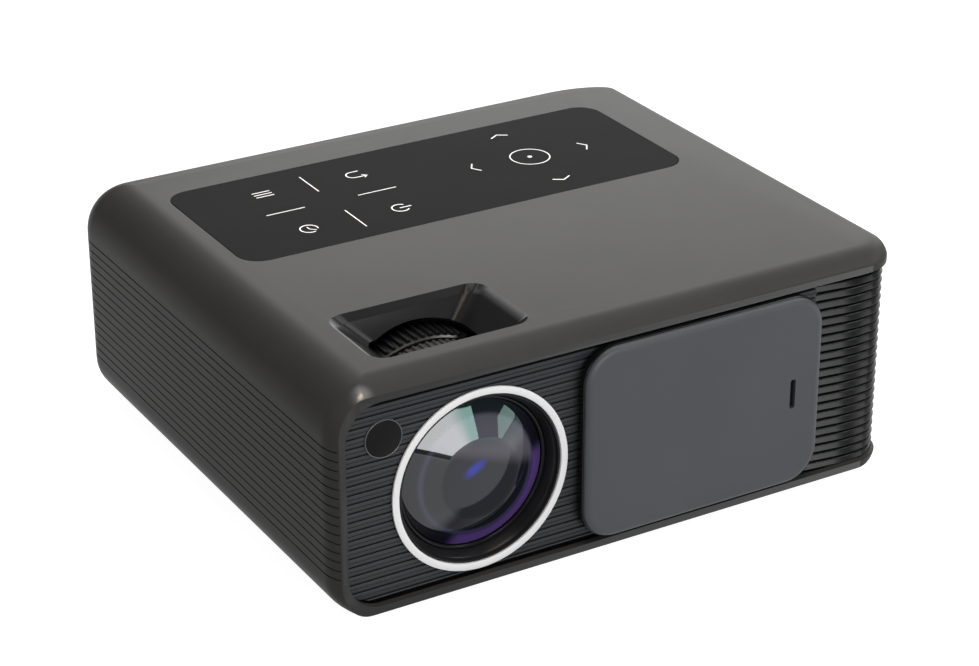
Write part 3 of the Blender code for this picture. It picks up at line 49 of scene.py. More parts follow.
# Camera, at the photograph's viewing angle
# lengths in mm and angles in degrees
view = {
    "lens": 99.76, "sensor": 36.0, "azimuth": -30.45, "elevation": 25.75, "roll": -0.08,
    "place": (-442.2, -760.8, 463.1), "nearest": 10.0,
}
camData = bpy.data.cameras.new("photoCamera")
camData.lens = view["lens"]
camData.sensor_width = view["sensor"]
camData.clip_start = view["nearest"] * mm
cam = bpy.data.objects.new("photoCamera", camData)
bpy.context.scene.collection.objects.link(cam)
cam.location = Vector(view["place"]) * mm
az, el = math.radians(view["azimuth"]), math.radians(view["elevation"])
turn = Matrix.Rotation(az, 4, "Z") @ Matrix.Rotation(math.pi / 2 - el, 4, "X")
cam.matrix_world = Matrix.Translation(cam.location) @ turn @ Matrix.Rotation(math.radians(view["roll"]), 4, "Z")
bpy.context.scene.camera = cam


# Small helpers
def linear(hexColour):
    parts = [int(hexColour[i:i + 2], 16) / 255 for i in (1, 3, 5)]
    return tuple(c / 12.92 if c <= 0.04045 else ((c + 0.055) / 1.055) ** 2.4 for c in parts) + (1.0,)


def addNode(tree, kind, values=None, links=None, **settings):
    # values and links are keyed by the input's name or number
    node = tree.nodes.new(kind)
    for key, value in settings.items():
        setattr(node, key, value)
    for key, value in (values or {}).items():
        node.inputs[key].default_value = value
    for key, socket in (links or {}).items():
        tree.links.new(socket, node.inputs[key])
    return node


def newMaterial(name):
    material = bpy.data.materials.new(name)
    material.use_nodes = True
    tree = material.node_tree
    return material, tree, tree.nodes["Principled BSDF"]


def ramp(tree, source, stops):
    node = addNode(tree, "ShaderNodeValToRGB", links={0: source})
    first, last = node.color_ramp.elements
    first.position, first.color = stops[0][0], linear(stops[0][1])
    last.position, last.color = stops[-1][0], linear(stops[-1][1])
    for place, colour in stops[1:-1]:
        node.color_ramp.elements.new(place).color = linear(colour)
    return node.outputs[0]


# sizes in mm: the slow drift of a plastic's tint
drift = 28


def plastic(name, colour, second, roughness, grain, bump, specular=0.5, spread=0.04):
    # moulded plastic: grain is the size of its texture in mm, bump its height in mm
    material, tree, shader = newMaterial(name)
    where = addNode(tree, "ShaderNodeTexCoord").outputs["Object"]
    cloud = addNode(tree, "ShaderNodeTexNoise", {"Scale": 1 / (drift * mm), "Detail": 3.0}, {"Vector": where})
    fine = addNode(tree, "ShaderNodeTexNoise", {"Scale": 1 / (grain * mm), "Detail": 2.0}, {"Vector": where})
    tint = ramp(tree, cloud.outputs[0], ((0.3, colour), (0.7, second)))
    tree.links.new(tint, shader.inputs["Base Color"])
    levels = {3: roughness - spread, 4: roughness + spread}
    rough = addNode(tree, "ShaderNodeMapRange", levels, {0: fine.outputs[0]})
    tree.links.new(rough.outputs[0], shader.inputs["Roughness"])
    height = {"Strength": 0.6, "Distance": bump * mm}
    relief = addNode(tree, "ShaderNodeBump", height, {"Height": fine.outputs[0]})
    tree.links.new(relief.outputs[0], shader.inputs["Normal"])
    shader.inputs["Specular IOR Level"].default_value = specular
    return material


def metal(name, colour, second, roughness, scratch, stretch=(1.0, 1.0, 1.0)):
    # bare metal with streaks: scratch is their width in mm
    material, tree, shader = newMaterial(name)
    where = addNode(tree, "ShaderNodeTexCoord").outputs["Object"]
    along = addNode(tree, "ShaderNodeMapping", {"Scale": stretch}, {"Vector": where})
    fineness = {"Scale": 1 / (scratch * mm), "Detail": 4.0}
    streak = addNode(tree, "ShaderNodeTexNoise", fineness, {"Vector": along.outputs[0]})
    tint = ramp(tree, streak.outputs[0], ((0.35, colour), (0.65, second)))
    tree.links.new(tint, shader.inputs["Base Color"])
    levels = {3: roughness - 0.08, 4: roughness + 0.08}
    rough = addNode(tree, "ShaderNodeMapRange", levels, {0: streak.outputs[0]})
    tree.links.new(rough.outputs[0], shader.inputs["Roughness"])
    height = {"Strength": 0.3, "Distance": 0.02 * mm}
    relief = addNode(tree, "ShaderNodeBump", height, {"Height": streak.outputs[0]})
    tree.links.new(relief.outputs[0], shader.inputs["Normal"])
    shader.inputs["Metallic"].default_value = 1.0
    return material


# Materials
finishes = {
    # the shell's ABS on the rim's flat front: its gloss level comes from riseAcross below
    "rimAbs": plastic("rimAbs", "#2c2d2d", "#2f3030", 0.36, 0.35, 0.006, specular=0.3),
    # ABS of the shell, satin: a soft broad gloss
    "shellAbs": plastic("shellAbs", "#2d2d2c", "#302f2f", 0.40, 0.35, 0.008, specular=0.04),
    # ABS in a ribbed mould: a little darker and cooler
    "louvreAbs": plastic("louvreAbs", "#212326", "#242629", 0.42, 0.35, 0.008, specular=0.2),
    # polished ABS: black, sharp gloss
    "finAbs": plastic("finAbs", "#0c0d0e", "#101112", 0.24, 0.8, 0.003, specular=0.17, spread=0.03),
    # the focus well's ABS: black, half gloss
    "wellAbs": plastic("wellAbs", "#101112", "#141415", 0.3, 0.6, 0.004, specular=0.12, spread=0.03),
    # soft touch lacquer on ABS: cool grey, very broad gloss
    "capLacquer": plastic("capLacquer", "#33363a", "#36393d", 0.44, 0.30, 0.006, specular=0.26),
    # painted ring: pale satin paint with the faintest orange peel
    "ringPaint": plastic("ringPaint", "#bebfc2", "#c2c3c5", 0.35, 0.9, 0.006, specular=0.4),
    # polycarbonate barrel: black, half gloss
    "barrelPc": plastic("barrelPc", "#111113", "#151517", 0.26, 0.5, 0.006, specular=0.12),
    # knurled nylon: black, semi gloss
    "ringNylon": plastic("ringNylon", "#0d0d0e", "#121213", 0.30, 0.4, 0.010, specular=0.5),
    # the focus ring's nylon: a shade lighter, duller
    "focusNylon": plastic("focusNylon", "#2a2a28", "#2f2f2d", 0.45, 0.4, 0.010, specular=0.3),
    # acrylic touch panel: dark, fine matt
    "touchAcrylic": plastic("touchAcrylic", "#171718", "#191919", 0.40, 0.5, 0.002, specular=0.004),
    # smoked acrylic over the infrared receiver
    "smokedAcrylic": plastic("smokedAcrylic", "#0f0f10", "#111112", 0.24, 0.8, 0.002, specular=0.06),
    # the thin bezel round the infrared window
    "bezelAbs": plastic("bezelAbs", "#3c3d3e", "#424344", 0.30, 0.5, 0.004, specular=0.5),
    # silk-screen ink: pale, matt
    "screenInk": plastic("screenInk", "#dededc", "#e6e6e4", 0.55, 0.3, 0.002, specular=0.3),
    # moulded nylon inside: black, dull
    "innerNylon": plastic("innerNylon", "#141415", "#191919", 0.55, 0.5, 0.02, specular=0.3),
    # rubber of the feet
    "footRubber": plastic("footRubber", "#151515", "#1b1b1b", 0.75, 0.6, 0.03, specular=0.3),
    # solder mask on glass fibre
    "solderMask": plastic("solderMask", "#0f3f24", "#14502d", 0.4, 2.0, 0.02, specular=0.5),
    # extruded aluminium, drawn lines along Z
    "extrudedAluminium": metal("extrudedAluminium", "#b4b6b8", "#c6c8ca", 0.38, 0.5, (1, 1, 0.04)),
    # plated steel of sockets and screws
    "platedSteel": metal("platedSteel", "#a4a5a8", "#bcbdbf", 0.30, 0.6, (1.0, 0.1, 1.0)),
    # turned brass insert
    "turnedBrass": metal("turnedBrass", "#b8924a", "#caa45a", 0.28, 0.4, (1.0, 1.0, 0.1)),
}


def riseAcross(material, reach, levels):
    # the gloss level rises along X, because the photograph's rim gets lighter to the right
    tree = material.node_tree
    where = addNode(tree, "ShaderNodeTexCoord").outputs["Object"]
    apart = addNode(tree, "ShaderNodeSeparateXYZ", links={0: where})
    limits = {1: reach[0] * mm, 2: reach[1] * mm, 3: levels[0], 4: levels[1]}
    level = addNode(tree, "ShaderNodeMapRange", limits, {0: apart.outputs[0]})
    tree.links.new(level.outputs[0], tree.nodes["Principled BSDF"].inputs["Specular IOR Level"])


def polishSpot(material, place, reach, roughness, specular):
    # a glossier spot, place and reach in mm: set to hold the highlight that the photograph shows
    tree = material.node_tree
    shader = tree.nodes["Principled BSDF"]
    where = addNode(tree, "ShaderNodeTexCoord").outputs["Object"]
    spot = tuple(c * mm for c in place)
    away = addNode(tree, "ShaderNodeVectorMath", {1: spot}, {0: where}, operation="DISTANCE")
    fall = {1: 0.0, 2: reach * mm, 3: 1.0, 4: 0.0}
    near = {0: away.outputs["Value"]}
    share = addNode(tree, "ShaderNodeMapRange", fall, near, interpolation_type="SMOOTHSTEP")
    old = shader.inputs["Roughness"].links[0].from_socket
    rough = addNode(tree, "ShaderNodeMix", {3: roughness}, {0: share.outputs[0], 2: old})
    tree.links.new(rough.outputs[0], shader.inputs["Roughness"])
    plain = shader.inputs["Specular IOR Level"].default_value
    gloss = addNode(tree, "ShaderNodeMix", {2: plain, 3: specular}, {0: share.outputs[0]})
    tree.links.new(gloss.outputs[0], shader.inputs["Specular IOR Level"])


# lengths in mm
rimGloss = {"x": (-75.0, 110.0), "levels": (0.04, 0.5)}
cornerGloss = {"place": (-99.4, -100.0, 82.9), "reach": 5.0, "roughness": 0.3, "specular": 1.0}
riseAcross(finishes["rimAbs"], rimGloss["x"], rimGloss["levels"])
polishSpot(finishes["shellAbs"], **cornerGloss)
print("materials made:", len(finishes))


# Mesh helpers
def meshObject(name, bm, finish, angle=32):
    mesh = bpy.data.meshes.new(name)
    bmesh.ops.recalc_face_normals(bm, faces=bm.faces)
    bm.to_mesh(mesh)
    bm.free()
    piece = bpy.data.objects.new(name, mesh)
    bpy.context.scene.collection.objects.link(piece)
    if finish:
        mesh.materials.append(finishes[finish])
    mesh.shade_smooth()
    mesh.set_sharp_from_angle(angle=math.radians(angle))
    return piece


def joinRings(bm, rings):
    # faces between neighbouring rings, and one that closes each end
    for one, two in zip(rings, rings[1:]):
        for i in range(len(one)):
            j = (i + 1) % len(one)
            bm.faces.new((one[i], one[j], two[j], two[i]))
    for end in (rings[0], rings[-1]):
        bm.faces.new(end)


def settle(piece):
    # applies the modifiers and leaves a plain mesh
    graph = bpy.context.evaluated_depsgraph_get()
    done = piece.evaluated_get(graph)
    mesh = bpy.data.meshes.new_from_object(done, preserve_all_data_layers=True, depsgraph=graph)
    piece.modifiers.clear()
    piece.data = mesh
    mesh.name = piece.name
    return piece


def cut(piece, *others, operation="DIFFERENCE"):
    for other in others:
        step = piece.modifiers.new("cut", "BOOLEAN")
        step.operation = operation
        step.solver = "EXACT"
        step.object = other
    settle(piece)
    for other in others:
        bpy.data.objects.remove(other, do_unlink=True)
    return piece


def softEdges(piece, width, angle=38, segments=2, leave=None):
    # rounds the sharp edges by a width in metres, apart from those that leave names
    step = piece.modifiers.new("edges", "BEVEL")
    step.width = width
    step.segments = segments
    step.miter_outer = "MITER_ARC"
    step.limit_method = "ANGLE"
    step.angle_limit = math.radians(angle)
    if leave:
        bm = bmesh.new()
        bm.from_mesh(piece.data)
        marks = bm.edges.layers.float.new("bevel_weight_edge")
        for edge in bm.edges:
            sharp = len(edge.link_faces) == 2 and edge.calc_face_angle(0.0) > math.radians(angle)
            left = sharp and leave(edge)
            edge[marks] = 1.0 if sharp and not left else 0.0
            edge.smooth = not left
        bm.to_mesh(piece.data)
        bm.free()
        step.limit_method = "WEIGHT"
    weigh = piece.modifiers.new("weigh", "WEIGHTED_NORMAL")
    weigh.keep_sharp = True
    return settle(piece)


def carryNormals(piece, source, near=0.03):
    # faces that still lie on the uncut skin take its smooth normals; near is in mm
    bm = bmesh.new()
    bm.from_mesh(source.data)
    bmesh.ops.triangulate(bm, faces=bm.faces)
    bm.normal_update()
    tree = BVHTree.FromBMesh(bm)
    bm.faces.ensure_lookup_table()
    mesh = piece.data
    normals = [Vector(corner.vector) for corner in mesh.corner_normals]
    for face in mesh.polygons:
        place, normal, index, distance = tree.find_nearest(face.center)
        if distance > near * mm or normal.dot(face.normal) < 0.97:
            continue
        for loop in face.loop_indices:
            spot = mesh.vertices[mesh.loops[loop].vertex_index].co
            place, normal, index, distance = tree.find_nearest(spot)
            corners = bm.faces[index].verts
            mixed = barycentric_transform(place, *[v.co for v in corners], *[v.normal for v in corners])
            normals[loop] = mixed.normalized()
    mesh.normals_split_custom_set([tuple(n) for n in normals])
    bm.free()
    bpy.data.objects.remove(source, do_unlink=True)
    return piece


def keepPiece(piece, body, slot, *replaced):
    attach(piece, body)
    if replaced:
        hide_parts(*replaced)
    return piece


def arc(cx, cy, radius, start, end, steps):
    turnStep = (end - start) / steps
    angles = [math.radians(start + turnStep * i) for i in range(steps + 1)]
    return [(cx + radius * math.cos(a), cy + radius * math.sin(a)) for a in angles]


def roundedOutline(x, y, radii, steps=10):
    # from the high corner round to the left; radii for each corner
    corners = ((x[1], y[1], -1, -1), (x[0], y[1], 1, -1), (x[0], y[0], 1, 1), (x[1], y[0], -1, 1))
    points = []
    for quarter, ((cx, cy, dx, dy), radius) in enumerate(zip(corners, radii)):
        start = 90 * quarter
        if radius:
            points += arc(cx + dx * radius, cy + dy * radius, radius, start, start + 90, steps)
        else:
            points.append((cx, cy))
    return points


axisTurn = {
    "X": Matrix(((0, 0, 1, 0), (1, 0, 0, 0), (0, 1, 0, 0), (0, 0, 0, 1))),
    "Y": Matrix(((1, 0, 0, 0), (0, 0, 1, 0), (0, 1, 0, 0), (0, 0, 0, 1))),
    "Z": Matrix.Identity(4),
}


def prism(name, outline, low, high, axis, finish=None):
    # an outline in the other two axes, drawn out along axis. All in mm
    bm = bmesh.new()
    lower = [bm.verts.new((a * mm, b * mm, low * mm)) for a, b in outline]
    upper = [bm.verts.new((a * mm, b * mm, high * mm)) for a, b in outline]
    joinRings(bm, [lower, upper])
    bm.transform(axisTurn[axis])
    return meshObject(name, bm, finish)


def box(name, x, y, z, finish=None):
    bm = bmesh.new()
    bmesh.ops.create_cube(bm, size=1.0)
    size = Vector((x[1] - x[0], y[1] - y[0], z[1] - z[0])) * mm
    middle = Vector((x[1] + x[0], y[1] + y[0], z[1] + z[0])) * mm / 2
    bmesh.ops.transform(bm, matrix=Matrix.Translation(middle) @ Matrix.Diagonal((*size, 1.0)), verts=bm.verts)
    return meshObject(name, bm, finish)


def turnedPiece(name, profile, centre, finish, steps=128):
    # a closed profile of radius and place along Y, in mm, turned round the Y axis through centre
    bm = bmesh.new()
    rings = []
    for radius, along in profile:
        if radius < 1e-6:
            rings.append([bm.verts.new((0, 0, along * mm))])
            continue
        ring = []
        for i in range(steps):
            a = 2 * math.pi * i / steps
            ring.append(bm.verts.new((radius * mm * math.cos(a), radius * mm * math.sin(a), along * mm)))
        rings.append(ring)
    pairs = list(zip(rings, rings[1:]))
    if profile[0][0] > 1e-6 and profile[-1][0] > 1e-6:
        pairs.append((rings[-1], rings[0]))
    for one, two in pairs:
        for i in range(steps):
            j = (i + 1) % steps
            if len(one) == 1:
                bm.faces.new((one[0], two[i], two[j]))
            elif len(two) == 1:
                bm.faces.new((one[i], one[j], two[0]))
            else:
                bm.faces.new((one[i], one[j], two[j], two[i]))
    bm.transform(axisTurn["Y"])
    bm.transform(Matrix.Translation(Vector(centre) * mm))
    return meshObject(name, bm, finish)


# Geometry node trees for what repeats
def copyTree(name, **inputs):
    # a tree that takes a geometry, a material and the named inputs, each with its socket type
    tree = bpy.data.node_groups.new(name, "GeometryNodeTree")
    kinds = {"Geometry": "Geometry", **inputs, "Material": "Material"}
    for socket, kind in kinds.items():
        tree.interface.new_socket(socket, in_out="INPUT", socket_type="NodeSocket" + kind)
    tree.interface.new_socket("Geometry", in_out="OUTPUT", socket_type="NodeSocketGeometry")
    return tree, tree.nodes.new("NodeGroupInput").outputs


def finishTree(tree, copies, given):
    real = addNode(tree, "GeometryNodeRealizeInstances", links={0: copies.outputs[0]})
    links = {"Geometry": real.outputs[0], "Material": given["Material"]}
    paint = addNode(tree, "GeometryNodeSetMaterial", links=links)
    addNode(tree, "NodeGroupOutput", links={0: paint.outputs[0]})
    return tree


def rowTree(name):
    # copies a piece in a straight row: Count copies, Step apart
    tree, given = copyTree(name, Count="Int", Step="Vector")
    line = addNode(tree, "GeometryNodeMeshLine", links={"Count": given["Count"], "Offset": given["Step"]})
    links = {"Points": line.outputs[0], "Instance": given["Geometry"]}
    return finishTree(tree, addNode(tree, "GeometryNodeInstanceOnPoints", links=links), given)


def ringTree(name):
    # copies a piece round an axis: Count copies, each turned with its place
    tree, given = copyTree(name, Count="Int", Turn="Float", Axis="Vector")
    points = addNode(tree, "GeometryNodePoints", links={"Count": given["Count"]})
    index = addNode(tree, "GeometryNodeInputIndex")
    angle = addNode(tree, "ShaderNodeMath", operation="MULTIPLY", links={0: index.outputs[0], 1: given["Turn"]})
    links = {"Axis": given["Axis"], "Angle": angle.outputs[0]}
    spin = addNode(tree, "FunctionNodeAxisAngleToRotation", links=links)
    links = {"Points": points.outputs[0], "Instance": given["Geometry"], "Rotation": spin.outputs[0]}
    return finishTree(tree, addNode(tree, "GeometryNodeInstanceOnPoints", links=links), given)


def grow(piece, tree, **values):
    # runs a tree on a piece with its named inputs, and leaves a plain mesh
    step = piece.modifiers.new(tree.name, "NODES")
    step.node_group = tree
    for socket in tree.interface.items_tree:
        if socket.in_out == "INPUT" and socket.name in values:
            step[socket.identifier] = values[socket.name]
    piece.update_tag()
    return settle(piece)


rows = rowTree("copiesInRow")
spokes = ringTree("copiesRoundAxis")


# The shell
body = {
    "x": (-111.0, 111.0), "rim": -101.0, "back": 104.0, "z": (4.0, 86.2),
    "top": {"left": 17.5, "right": 4.4, "back": 20.5, "front": 14.5},
    "low": {"left": 13.5, "right": 3.4, "back": 4.0, "front": 1.0},
    "corners": {"backRight": 24.5, "backLeft": 17.5, "frontLeft": 12.25, "frontRight": 15.0},
    "rollCut": 4.6, "wall": 2.2, "roof": 2.6, "floor": 1.2, "least": 0.6,
    "lipDepth": 2.45, "openLow": 6.6, "openTop": 79.8, "openLeft": -106.0, "openRound": 12.5,
    "grilleLeft": 76.0, "grilleBack": 58.0, "edge": 0.25,
}
# openings in mm: the outline's two ranges, its rounding, and the range that is cut through
openings = {
    "base": ((-91, 97), (-89, 88), 6, (-2, 8), "Z"),
    "rear": ((-85, 81), (12, 62), 5, (98, 110), "Y"),
}
# how far the cutters reach, in mm: each only has to pass the shell
beyond = {
    "x": (-120, 120), "y": -120, "z": (-2, 95), "side": -110, "mouth": (-106, -90), "mouthRight": 90.0,
    "panel": (-105, -90), "slot": -108, "over": 4.0, "form": 5.0,
}
rib = {"pitch": 3.27, "low": 6.03, "count": 23}
groove = {"low": 20.1, "count": 15, "height": 0.5, "depth": 0.55, "fromRim": 0.45}


def sideInsets(radii, depth):
    return {side: r - math.sqrt(r * r - max(0.0, r - depth) ** 2) for side, r in radii.items()}


def skin(name, shrink, floor, roof, finish=None, topLevels=22, lowLevels=12, cornerSteps=16):
    # level outlines joined into a skin: every side has its own rounding
    topRadii = {side: max(r - shrink, body["least"]) for side, r in body["top"].items()}
    lowRadii = {side: max(r - shrink, body["least"]) for side, r in body["low"].items()}
    low, high = body["z"][0] + floor, body["z"][1] - roof
    levels = []
    for step in range(lowLevels + 1):
        rise = max(lowRadii.values()) * (1 - math.cos(math.pi / 2 * step / lowLevels))
        levels.append((low + rise, sideInsets(lowRadii, rise)))
    for step in range(topLevels + 1):
        fall = max(topRadii.values()) * (1 - math.sin(math.pi / 2 * step / topLevels))
        levels.append((high - fall, sideInsets(topRadii, fall)))
    x0, x1 = body["x"][0] + shrink, body["x"][1] - shrink
    y0, y1 = body["rim"] - body["rollCut"] + shrink, body["back"] - shrink
    radii = body["corners"]
    bm = bmesh.new()
    rings = []
    for z, inset in levels:
        rolled = max(body["rollCut"], inset["front"])
        corners = (
            (x1, -1, inset["right"], y1, -1, inset["back"], radii["backRight"], radii["backRight"]),
            (x0, 1, inset["left"], y1, -1, inset["back"], radii["backLeft"], radii["backLeft"]),
            (x0, 1, inset["left"], y0, 1, inset["front"], radii["frontLeft"], radii["frontLeft"]),
            (x1, -1, inset["right"], y0, 1, rolled, radii["frontRight"], radii["frontRight"] + body["rollCut"]),
        )
        ring = []
        for quarter, (cx, dx, inX, cy, dy, inY, wide, deep) in enumerate(corners):
            wide = max(wide - shrink - inX, body["least"])
            deep = max(deep - shrink - inY, body["least"])
            for step in range(cornerSteps + 1):
                angle = math.pi / 2 * (quarter + step / cornerSteps)
                px = cx + dx * (inX + wide) + wide * math.cos(angle)
                py = cy + dy * (inY + deep) + deep * math.sin(angle)
                ring.append(bm.verts.new((px * mm, py * mm, z * mm)))
        rings.append(ring)
    for lower, upper in zip(rings, rings[1:]):
        for i in range(len(lower)):
            j = (i + 1) % len(lower)
            bm.faces.new((lower[i], lower[j], upper[j], upper[i]))
    bm.faces.new(list(reversed(rings[0])))
    bm.faces.new(rings[-1])
    return meshObject(name, bm, finish, 30)


def funnel(name, inset, over, finish=None):
    # the focus well's form, inset from its opening in the top
    x = (well["x"][0] + inset, well["x"][1] - inset)
    y = (well["y"][0] + inset, well["y"][1] - inset)
    share = over / well["depth"]
    top = body["z"][1]
    outline = roundedOutline(x, y, (well["round"] - inset,) * 4, 8)
    bm = bmesh.new()
    rings = []
    for place in (-share, 1 + share):
        wide = 1 - 2 * well["end"] * place / (x[1] - x[0])
        deep = 1 - (well["front"] + well["back"]) * place / (y[1] - y[0])
        startX, startY = x[0] + well["end"] * place, y[0] + well["front"] * place
        spots = [(startX + (a - x[0]) * wide, startY + (b - y[0]) * deep) for a, b in outline]
        rings.append([bm.verts.new((a * mm, b * mm, (top - well["depth"] * place) * mm)) for a, b in spots])
    joinRings(bm, rings)
    return meshObject(name, bm, finish, 25)


lens = {"x": -56.2, "z": 41.2}
# the walls come inward by end, front and back over the depth
well = {
    "x": (-87.3, -28.6), "y": (-86.5, -50.4), "round": 6.5, "depth": 12.0, "end": 15.0, "front": 3.0,
    "back": 7.4, "wall": 0.7, "clear": 2.4, "swept": (-95, -40),
}
touch = {
    "x": (-89.5, 89.5), "y": (0.0, 69.0), "round": 8.5, "thick": 1.0, "gap": 0.3, "low": 0.04, "soft": 0.12,
}


def buildShell():
    shell = skin("topShell", 0.0, 0.0, 0.0, "shellAbs")
    wide, tall, ahead = beyond["x"], beyond["z"], beyond["y"]
    cut(shell, box("ahead", wide, (ahead, body["rim"]), tall))
    hollow = skin("hollow", body["wall"], body["floor"], body["roof"], None, 10, 6, 8)
    cut(hollow, box("lipKeep", wide, (ahead, body["rim"] + body["lipDepth"]), tall))
    gate = (body["openLow"], body["openTop"])
    corners = (0, body["openRound"], body["openRound"], 0)
    mouth = roundedOutline((body["openLeft"], beyond["mouthRight"]), gate, corners, 14)
    opening = prism("mouth", mouth, *beyond["mouth"], "Y")
    side = box("side", (body["grilleLeft"], wide[1]), (beyond["side"], body["grilleBack"]), gate)
    cut(shell, hollow, opening, side)
    holes = []
    for name, (across, along, corner, depth, axis) in openings.items():
        holes.append(prism(name, roundedOutline(across, along, (corner,) * 4), *depth, axis))
    holes.append(funnel("wellCut", 0.0, beyond["over"]))
    gap = touch["gap"]
    ranges = [(touch[axis][0] - gap, touch[axis][1] + gap) for axis in ("x", "y")]
    sunk = roundedOutline(*ranges, (touch["round"] + gap,) * 4)
    holes.append(prism("touchCut", sunk, body["z"][1] - touch["thick"] - gap, tall[1], "Z"))
    cut(shell, *holes)
    cut(shell, grooveCutter())
    softEdges(shell, body["edge"] * mm, 40, 2, leave=staysSharp)
    carryNormals(shell, skin("uncut", 0.0, 0.0, 0.0))
    shell.data.materials.append(finishes["wellAbs"])
    shell.data.materials.append(finishes["rimAbs"])
    for face in shell.data.polygons:
        spot = face.center / mm
        if face.normal.y < -0.98 and spot.y < body["rim"] + 0.1:
            face.material_index = 2
        if inWell(spot, 1) and abs(face.normal.z) < 0.8:
            face.material_index = 1
    return keepPiece(shell, "housing", "shell_plastic", "top_shell")


def inWell(spot, over):
    # over is how far outside the opening a spot may lie, in mm
    inX = well["x"][0] - over < spot.x < well["x"][1] + over
    inY = well["y"][0] - over < spot.y < well["y"][1] + over
    return inX and inY and spot.z > body["z"][1] - body["roof"] - 0.1


def staysSharp(edge):
    # the well's lower rim meets the funnel, so it has no rounding
    spots = [vert.co / mm for vert in edge.verts]
    if all(inWell(spot, 1) and spot.z < body["z"][1] - 1 for spot in spots):
        return True
    # both ends of a fine groove's edge stand half its height from the groove's middle
    for spot in spots:
        off = (spot.z - groove["low"] + rib["pitch"] / 2) % rib["pitch"] - rib["pitch"] / 2
        if abs(abs(off) - groove["height"] / 2) > 0.02 or (spot.x > -88 and spot.y < 98):
            return False
    return True


def grooveCutter():
    # one thin frame round the left side and the back corner, copied up the side
    depth = groove["depth"]
    left, back = body["x"][0] + depth, body["back"] - depth
    front = body["rim"] + groove["fromRim"]
    roll, corner = body["corners"]["frontLeft"] - depth, body["corners"]["backLeft"] - depth
    rollY = body["rim"] - body["rollCut"] + body["corners"]["frontLeft"]
    first = math.degrees(math.asin((rollY - front) / roll))
    inner = arc(left + roll, rollY, roll, 180 + first, 180, 8)
    inner += arc(left + corner, back - corner, corner, 180, 90, 16)
    outX, outY = body["x"][0] - beyond["over"], body["back"] + beyond["over"]
    outer = [(left + corner, outY), (outX, outY), (outX, front)]
    z = groove["low"]
    slab = prism("grooves", inner + outer, z - groove["height"] / 2, z + groove["height"] / 2, "Z")
    grow(slab, rows, Count=groove["count"], Step=(0.0, 0.0, rib["pitch"] * mm))
    return slab


shell = buildShell()
print("shell made:", len(shell.data.polygons), "faces")


# The ribbed front panel
panel = {
    "front": -98.25, "back": -95.25, "x": (-106.8, 75.7), "z": (8.1, 77.25), "round": 11.0, "groove": 0.9,
    "crest": 2.55, "foot": 0.2, "brow": 0.25, "line": 0.22, "root": 0.6, "lensHole": 31.5, "irHole": 6.8,
}
# where the fine line along a rib's middle starts, turns and ends, as shares of the rib's height
lineShares = ((0.42, 0), (0.46, 1), (0.54, 1), (0.58, 0))
# rounding: steps in from the radius and back from the front; ring: steps from the bezel's own radius
window = {
    "x": -91.3, "z": 65.3, "radius": 6.26, "bezel": 6.52, "front": -98.65, "back": -96.05,
    "rounding": ((0.4, 0.0), (0.12, 0.1), (0.0, 0.35)),
    "ring": (
        (-0.22, 0.25), (-0.14, -0.01), (0.0, -0.09), (0.14, -0.01), (0.22, 0.25), (0.22, 2.25),
        (-0.22, 2.25),
    ),
}


def drill(name, centre, radius, reach, steps):
    # a round cutter along Y, centred on a piece's own x and z
    profile = [(0, reach[0]), (radius, reach[0]), (radius, reach[1]), (0, reach[1])]
    return turnedPiece(name, profile, (centre["x"], 0, centre["z"]), None, steps)


def buildPanel():
    z0 = rib["low"] + math.floor((panel["z"][0] - rib["low"]) / rib["pitch"]) * rib["pitch"]
    count = int((panel["z"][1] - z0) / rib["pitch"]) + 1
    front, deep = panel["front"], panel["front"] + panel["groove"]
    crest, foot, brow, root = panel["crest"], panel["foot"], panel["brow"], deep + panel["root"]
    outline = [(root, z0)]
    outline += arc(front + foot, z0 + foot, foot, 270, 180, 3)
    outline += [(front + panel["line"] * sunk, z0 + crest * share) for share, sunk in lineShares]
    outline += arc(front + brow, z0 + crest - brow, brow, 180, 90, 3)
    outline += [(root, z0 + crest)]
    ribs = prism("frontPanel", outline, panel["x"][0], panel["x"][1], "X", "louvreAbs")
    grow(ribs, rows, Count=count, Step=(0.0, 0.0, rib["pitch"] * mm), Material=finishes["louvreAbs"])
    plate = box("plate", panel["x"], (deep, panel["back"]), panel["z"], "louvreAbs")
    cut(ribs, plate, operation="UNION")
    corners = (0, panel["round"], panel["round"], 0)
    form = roundedOutline((panel["x"][0], panel["x"][1] + beyond["form"]), panel["z"], corners)
    cut(ribs, prism("form", form, *beyond["panel"], "Y"), operation="INTERSECT")
    lensHole = drill("lensHole", lens, panel["lensHole"], beyond["panel"], 96)
    cut(ribs, lensHole, drill("irHole", window, panel["irHole"], beyond["panel"], 64))
    ribs.data.materials.clear()
    ribs.data.materials.append(finishes["louvreAbs"])
    ribs.data.shade_smooth()
    ribs.data.set_sharp_from_angle(angle=math.radians(32))
    return keepPiece(ribs, "housing", "panel_plastic", "front_panel")


buildPanel()
print("front panel made")


# The fin grille round the right front corner
# seen from above a fin runs straight, then bows forward by swing degrees each way, then turns the corner
fins = {
    "front": -98.25, "left": 76.3, "right": 111.0, "back": 57.7, "round": 13.0, "bow": 42.0, "swing": 8.0,
    "depth": 4.5, "thick": 2.3, "low": 6.1, "lean": 0.55, "chin": 0.2, "nose": 0.9, "noseIn": 0.94,
    "noseArc": (160, 90), "turnFrom": 272, "sideY": (-60, -20, 20),
}


